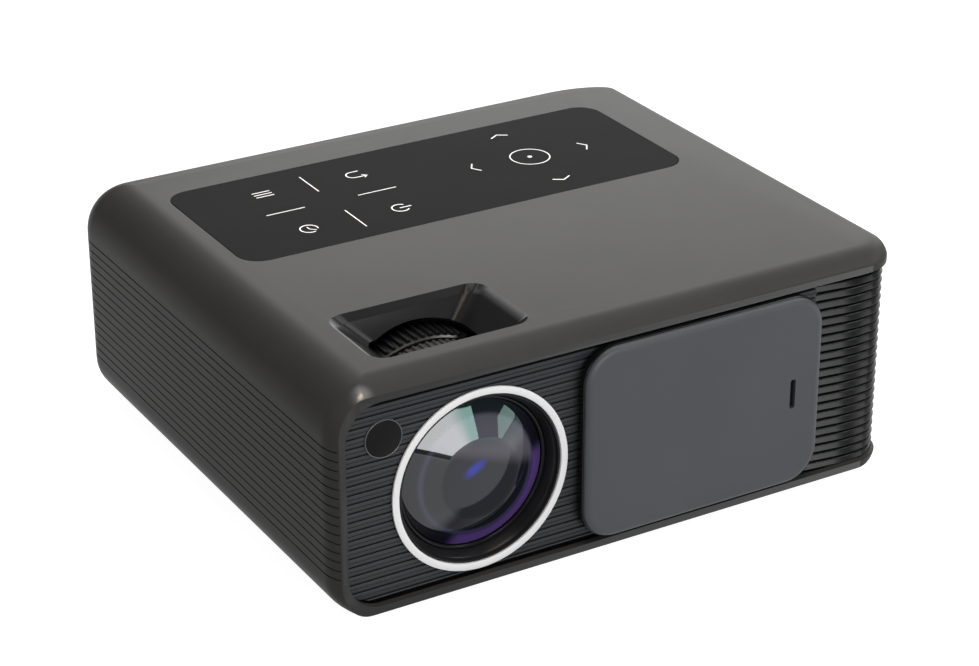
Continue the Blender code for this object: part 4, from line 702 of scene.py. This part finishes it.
def buildGrille():
    left, right, front, back = fins["left"], fins["right"], fins["front"], fins["back"]
    depth, corner, thick = fins["depth"], fins["round"], fins["thick"]
    bow, swing = fins["bow"], math.radians(fins["swing"])
    sag = bow * (1 - math.cos(swing))
    middle = right - corner * (1 - math.sin(swing)) - bow * math.sin(swing)
    path = [(left, front + sag + (middle - bow * math.sin(swing) - left) * math.tan(swing))]
    path += arc(middle, front + bow, bow, 270 - fins["swing"], 270 + fins["swing"], 8)
    turnY, first = front + sag + corner * math.cos(swing), fins["turnFrom"] + fins["swing"]
    path += arc(right - corner, turnY, corner, first, 360, 20)
    path += [(right, y) for y in fins["sideY"]] + [(right, back)]
    chin, nose, lean, low = fins["chin"], fins["nose"], fins["lean"], fins["low"]
    section = [(depth, 0.0)] + arc(chin, chin, chin, 270, 180, 3)
    section += arc(lean + fins["noseIn"] * nose, thick - nose, nose, *fins["noseArc"], 8) + [(depth, thick)]
    bm = bmesh.new()
    rings = []
    for i, (px, py) in enumerate(path):
        before, after = path[max(i - 1, 0)], path[min(i + 1, len(path) - 1)]
        way = Vector((after[0] - before[0], after[1] - before[1])).normalized()
        inward = Vector((-way.y, way.x))
        spots = [(px + inward.x * d, py + inward.y * d, low + z) for d, z in section]
        rings.append([bm.verts.new(Vector(spot) * mm) for spot in spots])
    joinRings(bm, rings)
    grille = meshObject("sideGrille", bm, "finAbs")
    step = (0.0, 0.0, rib["pitch"] * mm)
    grow(grille, rows, Count=rib["count"], Step=step, Material=finishes["finAbs"])
    return keepPiece(grille, "housing", "fin_plastic", "side_grille")


buildGrille()


# the posts' thickness, and their places in front and at the side, in mm
posts = {"thick": 1.6, "frontY": -94.6, "frontX": (77.6, 84.5), "sideX": 107.2, "sideY": (-72, -35, 0, 35, 56)}


def buildPosts():
    # the upright posts that tie the fins behind their noses
    bm = bmesh.new()
    low, high = fins["low"], fins["low"] + rib["pitch"] * (rib["count"] - 1) + fins["thick"]
    spots = [(x, posts["frontY"]) for x in posts["frontX"]] + [(posts["sideX"], y) for y in posts["sideY"]]
    size = Vector((posts["thick"], posts["thick"], high - low)) * mm
    for x, y in spots:
        move = Matrix.Translation(Vector((x, y, (low + high) / 2)) * mm)
        bmesh.ops.create_cube(bm, size=1.0, matrix=move @ Matrix.Diagonal((*size, 1.0)))
    piece = meshObject("grillePosts", bm, "finAbs")
    return keepPiece(piece, "housing", "fin_plastic")


buildPosts()
print("grille made")


# The sliding cap
cap = {
    "x": (-19.7, 75.7), "z": (8.1, 78.9), "front": -104.0, "back": -99.75, "round": 12.7, "edge": 2.6,
    "deep": 1.6, "seam": -102.3, "inset": 0.35, "chamfer": 0.25, "soft": 0.12,
    "slotX": (62.5, 64.6), "slotZ": (37.6, 48.6), "slotRound": 0.9, "slotDepth": 0.5,
}


def capSlab(name, layers, finish):
    # layers are pairs of an inset from the cap's outline and a place along Y
    bm = bmesh.new()
    rings = []
    for inset, y in layers:
        wide = (cap["x"][0] + inset, cap["x"][1] - inset)
        tall = (cap["z"][0] + inset, cap["z"][1] - inset)
        outline = roundedOutline(wide, tall, (cap["round"] - inset,) * 4, 16)
        rings.append([bm.verts.new((a * mm, y * mm, b * mm)) for a, b in outline])
    joinRings(bm, rings)
    return meshObject(name, bm, finish, 40)


def buildCap():
    seam, edge, inset, chamfer = cap["seam"], cap["edge"], cap["inset"], cap["chamfer"]
    # the cap is black from its back to the seam and lacquered grey in front of it, so its sides are dark
    blackBack = [(inset, cap["back"]), (0.0, cap["back"] - inset), (0.0, seam + chamfer), (chamfer, seam)]
    keepPiece(capSlab("capCarrier", blackBack, "finAbs"), "cap", "cap_plastic", "lens_cap")
    cover = [(inset, seam)]
    for step in range(9):
        a = math.pi / 2 * step / 8
        cover.append((inset + edge * (1 - math.cos(a)), cap["front"] + cap["deep"] * (1 - math.sin(a))))
    piece = capSlab("slidingCap", cover, "capLacquer")
    outline = roundedOutline(cap["slotX"], cap["slotZ"], (cap["slotRound"],) * 4, 6)
    cut(piece, prism("slot", outline, beyond["slot"], seam + cap["slotDepth"], "Y"))
    softEdges(piece, cap["soft"] * mm, 50, 2)
    keepPiece(piece, "cap", "cap_plastic")


buildCap()


# x: the hooks' left ends. levels: z of the neck's near and far side and of the toe's tip, above and below
hooks = {
    "x": (cap["x"][0] + 14, cap["x"][1] - 24), "width": 10, "levels": ((77.8, 78.6, 75.4), (7.8, 7.0, 10.2)),
    "root": (-100.5, -99.7), "neck": (-99.9, -93.75), "toe": (-94.95, -93.75),
}


def buildHooks():
    # the four hooks that clasp the panel's upper and lower edge behind the cap
    bm = bmesh.new()
    for x in hooks["x"]:
        for near, far, tip in hooks["levels"]:
            for member, start in (("root", tip), ("neck", near), ("toe", tip)):
                y0, y1 = hooks[member]
                middle = Vector((x + hooks["width"] / 2, (y0 + y1) / 2, (start + far) / 2)) * mm
                size = Vector((hooks["width"], y1 - y0, abs(far - start))) * mm
                move = Matrix.Translation(middle) @ Matrix.Diagonal((*size, 1.0))
                bmesh.ops.create_cube(bm, size=1.0, matrix=move)
    piece = meshObject("capHooks", bm, "capLacquer")
    return keepPiece(piece, "cap", "cap_plastic")


buildHooks()
print("cap made")


# Trim ring, barrel and glass
# closed profiles in mm: the radius, and the place along Y
profiles = {
    "trimRing": (
        (32.35, -99.25), (32.62, -99.17), (32.7, -98.95), (32.7, -98.55), (31.2, -98.55), (31.2, -95.25),
        (30.2, -95.25), (30.2, -98.95), (30.28, -99.17), (30.5, -99.25),
    ),
    "lensBarrel": (
        (29.9, -98.75), (29.9, -50.25), (33.4, -50.25), (33.4, -47.25), (27.5, -47.25), (27.5, -94.25),
        (27.8, -94.75), (28.6, -96.9), (28.75, -97.1), (28.95, -97.3), (29.3, -98.7),
    ),
    "lensCell": (
        (27.0, -93.75), (27.2, -93.55), (27.2, -62.75), (25.0, -62.75), (25.0, -63.95), (26.2, -63.95),
        (26.2, -93.35), (26.5, -93.75),
    ),
}


def buildLens():
    centre = (lens["x"], 0, lens["z"])
    for name, finish, bodyName, slot, node in (
        ("trimRing", "ringPaint", "housing", "trim_ring", "lens_trim_ring"),
        ("lensBarrel", "barrelPc", "housing", "black_plastic", "lens_barrel"),
        ("lensCell", "barrelPc", "lens", "black_plastic", "lens_cell"),
    ):
        keepPiece(turnedPiece(name, profiles[name], centre, finish, 160), bodyName, slot, node)


# Colours of the lens, and where they lie, in mm from its middle. All are set after the photograph.
# depth: the colour by share of reach. lowWay: the way to the lower right. Other pairs: where a tint fades in.
coatingAndPaintedReflections = {
    "depth": (
        (0.0, "#12141f"), (0.45, "#101118"), (0.74, "#0f1017"), (0.79, "#2a2c40"), (0.84, "#0f0f18"),
        (1.0, "#0c0c12"),
    ),
    "reach": 26.0, "lowWay": (0.62, 0.78),
    # the grey over the upper part, the violet edge and the blue oval are painted reflections
    "haze": "#46444d", "hazeSlope": 0.35, "hazeFrom": (5.0, 11.0), "hazeTo": (20.5, 22.5), "hazeShare": 0.8,
    "violet": "#402e5e", "violetRadius": (20.4, 22.6), "violetSide": (0.42, 0.62),
    "blue": "#1b2583", "blueAt": (-1.9, 4.2), "blueWay": (0.88, 0.47), "blueSize": (5.8, 2.6),
    "blueFade": (0.2, 1.05),
    "pale": "#fbfdff", "teal": "#a6d6ca", "tealSide": (-0.42, -0.12), "tealFrom": (8.0, 14.0),
    "gloss": (0.38, 0.52), "glossStep": (13.4, 14.6), "swallow": 0.08, "swallowAt": (-6.0, 8.5),
    "swallowFrom": (17.0, 17.9), "swallowSide": (0.0, 0.35), "roughness": 0.03, "ior": 1.56,
}


def coatedGlass():
    # Dark coated glass, opaque. The tints stand for what the coating and the elements behind it show in
    # the photograph: the grey over the upper part, the violet edge and the blue oval are painted reflections.
    # They are placed on the lens, and don't come from the optics.
    material, tree, shader = newMaterial("coatedGlass")

    def maths(kind, one, two):
        both = {n: v for n, v in enumerate((one, two))}
        values = {n: v for n, v in both.items() if isinstance(v, float)}
        links = {n: v for n, v in both.items() if not isinstance(v, float)}
        return addNode(tree, "ShaderNodeMath", values, links, operation=kind).outputs[0]

    def between(value, limits):
        levels = {1: limits[0], 2: limits[1]}
        step = addNode(tree, "ShaderNodeMapRange", levels, {0: value}, interpolation_type="SMOOTHSTEP")
        return step.outputs[0]

    def mixed(share, one, two):
        node = addNode(tree, "ShaderNodeMix", data_type="RGBA", links={0: share})
        for slot, colour in ((6, one), (7, two)):
            if isinstance(colour, str):
                node.inputs[slot].default_value = linear(colour)
            else:
                tree.links.new(colour, node.inputs[slot])
        return node.outputs[2]

    def length(a, b):
        return maths("SQRT", maths("ADD", maths("MULTIPLY", a, a), maths("MULTIPLY", b, b)), 0.0)

    def along(a, b, way, kind):
        return maths(kind, maths("MULTIPLY", a, way[0]), maths("MULTIPLY", b, way[1]))

    where = addNode(tree, "ShaderNodeTexCoord").outputs["Object"]
    inMm = (1 / mm, 1 / mm, 1 / mm)
    place = {"Scale": inMm, "Location": (-lens["x"], 0.0, -lens["z"])}
    moved = addNode(tree, "ShaderNodeMapping", place, {"Vector": where})
    apart = addNode(tree, "ShaderNodeSeparateXYZ", links={0: moved.outputs[0]})
    px, pz = apart.outputs[0], apart.outputs[2]
    radius = length(px, pz)
    # how far a place lies toward the lower right of the glass, from -1 to 1
    toLow = maths("DIVIDE", along(px, pz, coatingAndPaintedReflections["lowWay"], "SUBTRACT"), radius)
    base = ramp(tree, maths("DIVIDE", radius, coatingAndPaintedReflections["reach"]), coatingAndPaintedReflections["depth"])
    # painted reflection: a lighter grey over the upper part of the glass
    slope = maths("ADD", pz, maths("MULTIPLY", px, coatingAndPaintedReflections["hazeSlope"]))
    inner = maths("SUBTRACT", 1.0, between(radius, coatingAndPaintedReflections["hazeTo"]))
    upper = maths("MULTIPLY", between(slope, coatingAndPaintedReflections["hazeFrom"]), inner)
    base = mixed(maths("MULTIPLY", upper, coatingAndPaintedReflections["hazeShare"]), base, coatingAndPaintedReflections["haze"])
    # painted reflection: violet along the lower right edge of the glass
    lowSide = between(toLow, coatingAndPaintedReflections["violetSide"])
    edge = maths("MULTIPLY", between(radius, coatingAndPaintedReflections["violetRadius"]), lowSide)
    base = mixed(edge, base, coatingAndPaintedReflections["violet"])
    # painted reflection: a blue oval, along the glass's rising diagonal
    ex = maths("SUBTRACT", px, coatingAndPaintedReflections["blueAt"][0])
    ez = maths("SUBTRACT", pz, coatingAndPaintedReflections["blueAt"][1])
    wide = maths("DIVIDE", along(ex, ez, coatingAndPaintedReflections["blueWay"], "ADD"), coatingAndPaintedReflections["blueSize"][0])
    tall = maths("DIVIDE", along(ez, ex, coatingAndPaintedReflections["blueWay"], "SUBTRACT"), coatingAndPaintedReflections["blueSize"][1])
    fade = between(length(wide, tall), coatingAndPaintedReflections["blueFade"])
    base = mixed(maths("SUBTRACT", 1.0, fade), base, coatingAndPaintedReflections["blue"])
    tree.links.new(base, shader.inputs["Base Color"])
    # less gloss in the lower right, and a teal gloss toward the top
    cx = maths("SUBTRACT", px, coatingAndPaintedReflections["swallowAt"][0])
    cz = maths("SUBTRACT", pz, coatingAndPaintedReflections["swallowAt"][1])
    lowSide = between(toLow, coatingAndPaintedReflections["swallowSide"])
    swallow = maths("MULTIPLY", between(length(cx, cz), coatingAndPaintedReflections["swallowFrom"]), lowSide)
    rightSide = between(maths("DIVIDE", px, radius), coatingAndPaintedReflections["tealSide"])
    teal = maths("MULTIPLY", rightSide, between(pz, coatingAndPaintedReflections["tealFrom"]))
    tree.links.new(mixed(teal, coatingAndPaintedReflections["pale"], coatingAndPaintedReflections["teal"]), shader.inputs["Specular Tint"])
    start, end = coatingAndPaintedReflections["glossStep"]
    levels = {1: start, 2: end, 3: coatingAndPaintedReflections["gloss"][0], 4: coatingAndPaintedReflections["gloss"][1]}
    bright = addNode(tree, "ShaderNodeMapRange", levels, {0: radius})
    level = addNode(tree, "ShaderNodeMapRange", {4: coatingAndPaintedReflections["swallow"]}, {0: swallow, 3: bright.outputs[0]})
    tree.links.new(level.outputs[0], shader.inputs["Specular IOR Level"])
    shader.inputs["Roughness"].default_value = coatingAndPaintedReflections["roughness"]
    shader.inputs["IOR"].default_value = coatingAndPaintedReflections["ior"]
    return material


# the glass: a flat crown out to the shoulder, then nearly a cone; fall is the crown's own drop
glass = {
    "crown": -98.5, "shoulder": 14.2, "fall": 0.55, "rim": -92.75, "radius": 25.9, "edge": 3.0,
    "curve": 0.14,
}


def buildGlass():
    finishes["coatedGlass"] = coatedGlass()
    crown, shoulder, rim, radius = glass["crown"], glass["shoulder"], glass["rim"], glass["radius"]
    fall, curve = glass["fall"], glass["curve"]
    profile = [(0.0, crown)]
    for i in range(1, 9):
        r = shoulder * i / 8
        profile.append((r, crown + fall * (r / shoulder) ** 2))
    for i in range(1, 25):
        part = i / 24
        r = shoulder + (radius - shoulder) * part
        profile.append((r, crown + fall + (rim - crown - fall) * ((1 - curve) * part + curve * part * part)))
    profile += [(radius, rim + glass["edge"]), (0.0, rim + glass["edge"])]
    piece = turnedPiece("frontGlass", profile, (lens["x"], 0, lens["z"]), "coatedGlass", 128)
    keepPiece(piece, "lens", "glass", "front_lens")


buildLens()
buildGlass()
print("lens made")


# Infrared window
def buildWindow():
    radius, front, back = window["radius"], window["front"], window["back"]
    profile = [(0.0, front)] + [(radius - inward, front + along) for inward, along in window["rounding"]]
    profile += [(radius, back), (0.0, back)]
    piece = turnedPiece("irWindow", profile, (window["x"], 0, window["z"]), "smokedAcrylic", 96)
    keepPiece(piece, "housing", "fin_plastic", "ir_window")
    ring = [(window["bezel"] + out, front + along) for out, along in window["ring"]]
    bezel = turnedPiece("irBezel", ring, (window["x"], 0, window["z"]), "bezelAbs", 96)
    keepPiece(bezel, "housing", "fin_plastic")


buildWindow()


# The two knurled rings in the well
knurl = {
    "focus": {
        "y": (-72.45, -62.95), "radius": 34.5, "bore": 30.2, "core": 33.9, "count": 84, "width": 1.9,
        "round": 0.4, "finish": "focusNylon",
    },
    "keystone": {
        "y": (-62.15, -50.55), "radius": 36.2, "bore": 30.2, "core": 35.1, "count": 80, "width": 1.5,
        "round": 0.6, "finish": "ringNylon",
    },
}
# lengths in mm. shares: a ridge's half width as a share, and how far below the crest
ridges = {"root": 0.4, "end": 0.5, "shares": ((0.62, 0.25), (0.3, 0.0)), "noneBelow": 7, "aside": 40}


def buildRing(name, size, bodyName, node):
    y0, y1 = size["y"]
    soft, outer, bore = size["round"], size["core"], size["bore"]
    core = [(outer, y0 + soft), (outer, y1 - soft), (outer - soft, y1)]
    core += [(bore, y1), (bore, y0), (outer - soft, y0)]
    ring = turnedPiece(name, core, (lens["x"], 0, lens["z"]), size["finish"], 144)
    half, high, low = size["width"] / 2, size["radius"], outer - ridges["root"]
    tooth = [(-half, low), (half, low)] + [(half * share, high - drop) for share, drop in ridges["shares"]]
    tooth += [(-half * share, high - drop) for share, drop in reversed(ridges["shares"])]
    ridge = prism(name + "Ridge", tooth, y0 + ridges["end"], y1 - ridges["end"], "Y", size["finish"])
    turnStep, paint = 2 * math.pi / size["count"], finishes[size["finish"]]
    grow(ridge, spokes, Count=size["count"], Turn=turnStep, Axis=(0.0, 1.0, 0.0), Material=paint)
    ridge.data.transform(Matrix.Translation((lens["x"] * mm, 0, lens["z"] * mm)))
    if name == "keystoneRing":
        # its ridges end out of sight, below the lens's middle
        wide = (lens["x"] - ridges["aside"], lens["x"] + ridges["aside"])
        cut(ridge, box("lowSide", wide, (y0 - 1, y1 + 1), (0, lens["z"] - ridges["noneBelow"])))
    ridge.data.shade_smooth()
    ridge.data.set_sharp_from_angle(angle=math.radians(32))
    keepPiece(ring, bodyName, "black_plastic", node)
    keepPiece(ridge, bodyName, "black_plastic")


buildRing("focusRing", knurl["focus"], "focus", "focus_ring")
buildRing("keystoneRing", knurl["keystone"], "keystone", "keystone_ring")
print("rings made")


# The funnel round them
def buildWell():
    # it starts a hair below the roof, and is open where the rings turn
    piece = funnel("focusWell", -well["wall"], -(body["roof"] + 0.05), "wellAbs")
    swept = drill("swept", lens, knurl["keystone"]["radius"] + well["clear"], well["swept"], 128)
    cut(piece, funnel("inside", 0.0, beyond["over"]), swept)
    piece.data.set_sharp_from_angle(angle=math.radians(25))
    keepPiece(piece, "housing", "fin_plastic", "focus_well")


buildWell()


# Touch panel and its printed keys
def buildTouch():
    top = body["z"][1] - touch["low"]
    outline = roundedOutline(touch["x"], touch["y"], (touch["round"],) * 4, 12)
    piece = prism("touchPanel", outline, body["z"][1] - touch["thick"], top, "Z", "touchAcrylic")
    softEdges(piece, touch["soft"] * mm, 50, 2)
    keepPiece(piece, "housing", "touch_glass", "touch_panel")
    return top


ink = {"line": 0.42, "heavyShare": 1.15, "thick": 0.05, "sunk": 0.015}


def strip(bm, points, width, z, closed=False):
    # a flat printed line through points, in mm
    count = len(points)
    left, right = [], []
    for i, (px, py) in enumerate(points):
        before = points[(i - 1) % count] if closed or i else points[i]
        after = points[(i + 1) % count] if closed or i < count - 1 else points[i]
        one = Vector((px - before[0], py - before[1]))
        two = Vector((after[0] - px, after[1] - py))
        one = one.normalized() if one.length > 1e-9 else two.normalized()
        two = two.normalized() if two.length > 1e-9 else one
        way = (one + two).normalized()
        reach = width / 2 / max(0.4, way.dot(one))
        side = Vector((-way.y, way.x)) * reach
        left.append(bm.verts.new(((px + side.x) * mm, (py + side.y) * mm, z * mm)))
        right.append(bm.verts.new(((px - side.x) * mm, (py - side.y) * mm, z * mm)))
    for i in range(count if closed else count - 1):
        j = (i + 1) % count
        bm.faces.new((left[i], right[i], right[j], left[j]))


# the printed marks in mm, seen from above: plain lines, heavier lines, and the four arrows' places and ways
keys = {
    "lines": (
        ((-39.5, 44.9), (-39.5, 60.3)), ((-39.5, 8.5), (-39.5, 24.8)), ((-65.5, 34.5), (-50.4, 34.5)),
        ((-29.1, 34.5), (-13.7, 34.5)), ((-19.0, 51.0), (-17.4, 49.6), (-19.0, 48.2)),
        ((-57.8, 18.4), (-57.8, 16.4), (-55.9, 14.6)),
    ),
    "heavy": (
        ((-61.5, 50.6), (-54.5, 50.6)), ((-61.5, 52.6), (-54.5, 52.6)), ((-61.5, 54.6), (-54.5, 54.6)),
        ((-18.6, 54.8), (-21.8, 54.8), *arc(-21.8, 52.2, 2.6, 90, 270, 10), (-17.4, 49.6)),
        arc(-21.5, 16.8, 3.1, 42, 318, 22), ((-21.8, 16.8), (-17.2, 16.8)),
        arc(-57.8, 16.7, 3.2, -20, 290, 24),
    ),
    "centre": (42.8, 34.6), "circle": 7.4, "dot": 0.45, "dotLine": 0.85, "tip": 1.1, "arm": 3.6,
    "arrows": ((43.2, 58.4, 0, 1), (65.9, 33.6, 1, 0), (19.6, 35.7, -1, 0), (42.1, 10.6, 0, -1)),
}


def buildKeys(z):
    bm = bmesh.new()
    line = ink["line"]
    heavy = line * ink["heavyShare"]
    z -= ink["sunk"]
    for points in keys["lines"]:
        strip(bm, points, line, z)
    for points in keys["heavy"]:
        strip(bm, points, heavy, z)
    strip(bm, arc(*keys["centre"], keys["circle"], 0, 351, 39), line, z, closed=True)
    strip(bm, arc(*keys["centre"], keys["dot"], 0, 324, 9), keys["dotLine"], z, closed=True)
    tip, arm = keys["tip"], keys["arm"]
    for cx, cy, dx, dy in keys["arrows"]:
        ends = [(cx - dx * tip + s * dy * arm, cy - dy * tip + s * dx * arm) for s in (-1, 1)]
        strip(bm, [ends[0], (cx + dx * tip, cy + dy * tip), ends[1]], heavy, z)
    raised = bmesh.ops.extrude_face_region(bm, geom=bm.faces[:])
    tops = [part for part in raised["geom"] if isinstance(part, bmesh.types.BMVert)]
    bmesh.ops.translate(bm, vec=(0, 0, ink["thick"] * mm), verts=tops)
    keepPiece(meshObject("touchKeys", bm, "screenInk"), "housing", "touch_glass")


buildKeys(buildTouch())
print("touch panel made")


# Nodes whose shape is right: smoother copies, and plain repaints
# finish, width of the softened edges in mm, body, and the nodes
dressed = {}
for finish, edge, bodyName, nodes in (
    ("innerNylon", 0.15, "housing", "base_plate"),
    ("louvreAbs", 0.2, "housing", "rear_panel"),
    ("barrelPc", 0.2, "housing", "power_inlet"),
    ("barrelPc", 0.1, "housing", "av_jack audio_jack"),
    ("platedSteel", 0.08, "housing", "hdmi_a hdmi_b usb_a usb_b"),
    ("footRubber", 0.15, "housing", "rubber_foot_rear_left rubber_foot_rear_right"),
    ("footRubber", 0.15, "housing", "rubber_foot_front_left rubber_foot_front_right"),
    ("footRubber", 0.1, "foot_pad", "foot_pad"),
    ("platedSteel", 0.1, "foot_screw", "foot_screw"),
    ("turnedBrass", 0.1, "housing", "foot_insert"),
    ("innerNylon", 0.2, "housing", "loudspeaker exhaust_fan_frame intake_fan_frame"),
    ("barrelPc", 0.1, "exhaust_rotor", "exhaust_fan_rotor"),
    ("barrelPc", 0.1, "intake_rotor", "intake_fan_rotor"),
    ("extrudedAluminium", 0.1, "housing", "heat_sink"),
):
    for node in nodes.split():
        dressed[node] = (bodyName, finish, edge)
slots = {entry["node"]: entry["material_slot"] for entry in frame["record"]["subparts"]}


def dress(node, bodyName, finish, edge):
    bm = bmesh.new()
    bm.from_mesh(cad[node].data)
    bmesh.ops.remove_doubles(bm, verts=bm.verts, dist=0.001 * mm)
    bmesh.ops.dissolve_limit(bm, angle_limit=math.radians(1.0), verts=bm.verts, edges=bm.edges)
    words = node.split("_")
    piece = meshObject(words[0] + "".join(w.capitalize() for w in words[1:]) + "Fine", bm, finish, 35)
    softEdges(piece, edge * mm, 50, 1)
    keepPiece(piece, bodyName, slots[node], node)


for node, (bodyName, finish, edge) in dressed.items():
    dress(node, bodyName, finish, edge)

repaint = {
    "black_plastic": "innerNylon", "board": "solderMask", "aluminium": "extrudedAluminium",
    "steel": "platedSteel", "panel_plastic": "louvreAbs", "shell_plastic": "shellAbs",
    "fin_plastic": "finAbs", "brass": "turnedBrass", "rubber": "footRubber",
}


def clearGlass(name, colour, patch=6):
    # polished glass, whose roughness drifts over patches, in mm
    material, tree, shader = newMaterial(name)
    where = addNode(tree, "ShaderNodeTexCoord").outputs["Object"]
    haze = addNode(tree, "ShaderNodeTexNoise", {"Scale": 1 / (patch * mm)}, {"Vector": where})
    rough = addNode(tree, "ShaderNodeMapRange", {3: 0.01, 4: 0.05}, {0: haze.outputs[0]})
    tree.links.new(rough.outputs[0], shader.inputs["Roughness"])
    shader.inputs["Base Color"].default_value = linear(colour)
    shader.inputs["Transmission Weight"].default_value = 1.0
    shader.inputs["IOR"].default_value = 1.5
    return material


finishes["opticGlass"] = clearGlass("opticGlass", "#d8e4f4")
finishes["frontMirror"] = metal("frontMirror", "#e6e8ea", "#eceef0", 0.10, 8.0)
repaint["glass"] = "opticGlass"
repaint["mirror"] = "frontMirror"
hidden = set(dressed) | {"top_shell", "front_panel", "side_grille", "lens_cap", "lens_trim_ring", "lens_barrel"}
hidden |= {"lens_cell", "front_lens", "ir_window", "focus_ring", "keystone_ring", "focus_well", "touch_panel"}
for node, piece in cad.items():
    if node not in hidden:
        piece.data.materials.clear()
        piece.data.materials.append(finishes[repaint[slots[node]]])
print("nodes dressed:", len(dressed))


# Floor, backdrop and lights
# size and place in metres; white is the glow that brings the paper up to the backdrop's tone
sheet = {
    "low": "#828282", "high": "#868686", "fibre": 40.0, "white": 0.94, "size": 3.0, "place": (0, 1.2, -0.0002),
}
sky = 0.22


def stageMaterial():
    # pale paper sweep: white to the camera and in gloss, and it keeps the shadow
    material = bpy.data.materials.new("paperSweep")
    material.use_nodes = True
    tree = material.node_tree
    tree.nodes.clear()
    path = addNode(tree, "ShaderNodeLightPath")
    direct = {0: path.outputs["Is Camera Ray"], 1: path.outputs["Is Glossy Ray"]}
    seen = addNode(tree, "ShaderNodeMath", links=direct, operation="ADD")
    through = {0: seen.outputs[0], 1: path.outputs["Is Transmission Ray"]}
    seen = addNode(tree, "ShaderNodeMath", links=through, operation="ADD", use_clamp=True)
    where = addNode(tree, "ShaderNodeTexCoord").outputs["Object"]
    fibre = addNode(tree, "ShaderNodeTexNoise", {"Scale": sheet["fibre"]}, {"Vector": where})
    paper = addNode(tree, "ShaderNodeBsdfDiffuse")
    tint = ramp(tree, fibre.outputs[0], ((0.0, sheet["low"]), (1.0, sheet["high"])))
    tree.links.new(tint, paper.inputs["Color"])
    strength = addNode(tree, "ShaderNodeMath", {1: sheet["white"]}, {0: seen.outputs[0]}, operation="MULTIPLY")
    glow = addNode(tree, "ShaderNodeEmission", {"Color": (1, 1, 1, 1)}, {"Strength": strength.outputs[0]})
    both = addNode(tree, "ShaderNodeAddShader", links={0: paper.outputs[0], 1: glow.outputs[0]})
    addNode(tree, "ShaderNodeOutputMaterial", links={0: both.outputs[0]})
    return material


finishes["paperSweep"] = stageMaterial()
floorMesh = bmesh.new()
bmesh.ops.create_grid(floorMesh, x_segments=2, y_segments=2, size=sheet["size"])
floor = meshObject("paperFloor", floorMesh, "paperSweep")
floor.location = sheet["place"]

lamps = {
    # name: place, aimed at, size, power, colour; all in metres and watts
    "overhead": ((0.15, 0.35, 1.5), (0.0, 0.0, 0.05), (1.2, 0.9), 14.0, "#ffffff"),
    "backSoft": ((1.02, 1.12, 0.68), (0.0, 0.0, 0.08), (1.6, 0.8), 20.5, "#ffffff"),
    "backMiddle": ((0.14, 1.29, 1.02), (0.0, 0.0, 0.08), (0.7, 0.5), 2.0, "#ffffff"),
    "backLeft": ((-0.60, 1.25, 0.85), (-0.05, 0.0, 0.08), (0.6, 0.5), 0.12, "#ffffff"),
    "leftSide": ((-1.5, 0.2, 0.6), (0.0, 0.0, 0.04), (0.9, 0.8), 3.5, "#ffffff"),
    "frontLeft": ((-1.2, -1.1, 0.5), (0.0, 0.0, 0.04), (0.7, 0.6), 3.0, "#ffffff"),
    "frontKey": ((0.03, -1.46, 0.33), (-0.05, 0.0, 0.04), (1.12, 0.50), 16.8, "#ffffff"),
    "rightLow": ((0.93, -0.84, 0.13), (0.1, -0.05, 0.04), (0.3, 0.2), 0.8, "#ffffff"),
    "rightHigh": ((0.76, -0.43, 0.74), (0.1, -0.09, 0.05), (0.95, 0.24), 6.0, "#ffffff"),
    "cornerSpark": ((-0.05, -0.43, 1.13), (-0.1, -0.1, 0.083), (0.60, 0.12), 5.5, "#fff2dc"),
}
for name, (place, aim, size, power, colour) in lamps.items():
    data = bpy.data.lights.new(name, "AREA")
    data.shape = "RECTANGLE"
    data.size, data.size_y = size
    data.energy = power
    data.color = linear(colour)[:3]
    lamp = bpy.data.objects.new(name, data)
    bpy.context.scene.collection.objects.link(lamp)
    lamp.location = place
    lamp.rotation_euler = (Vector(aim) - Vector(place)).to_track_quat("-Z", "Y").to_euler()

world = bpy.data.worlds.new("studio")
bpy.context.scene.world = world
world.use_nodes = True
world.node_tree.nodes["Background"].inputs["Color"].default_value = (1, 1, 1, 1)
world.node_tree.nodes["Background"].inputs["Strength"].default_value = sky
bpy.context.scene.view_settings.view_transform = "Standard"
print("stage made")
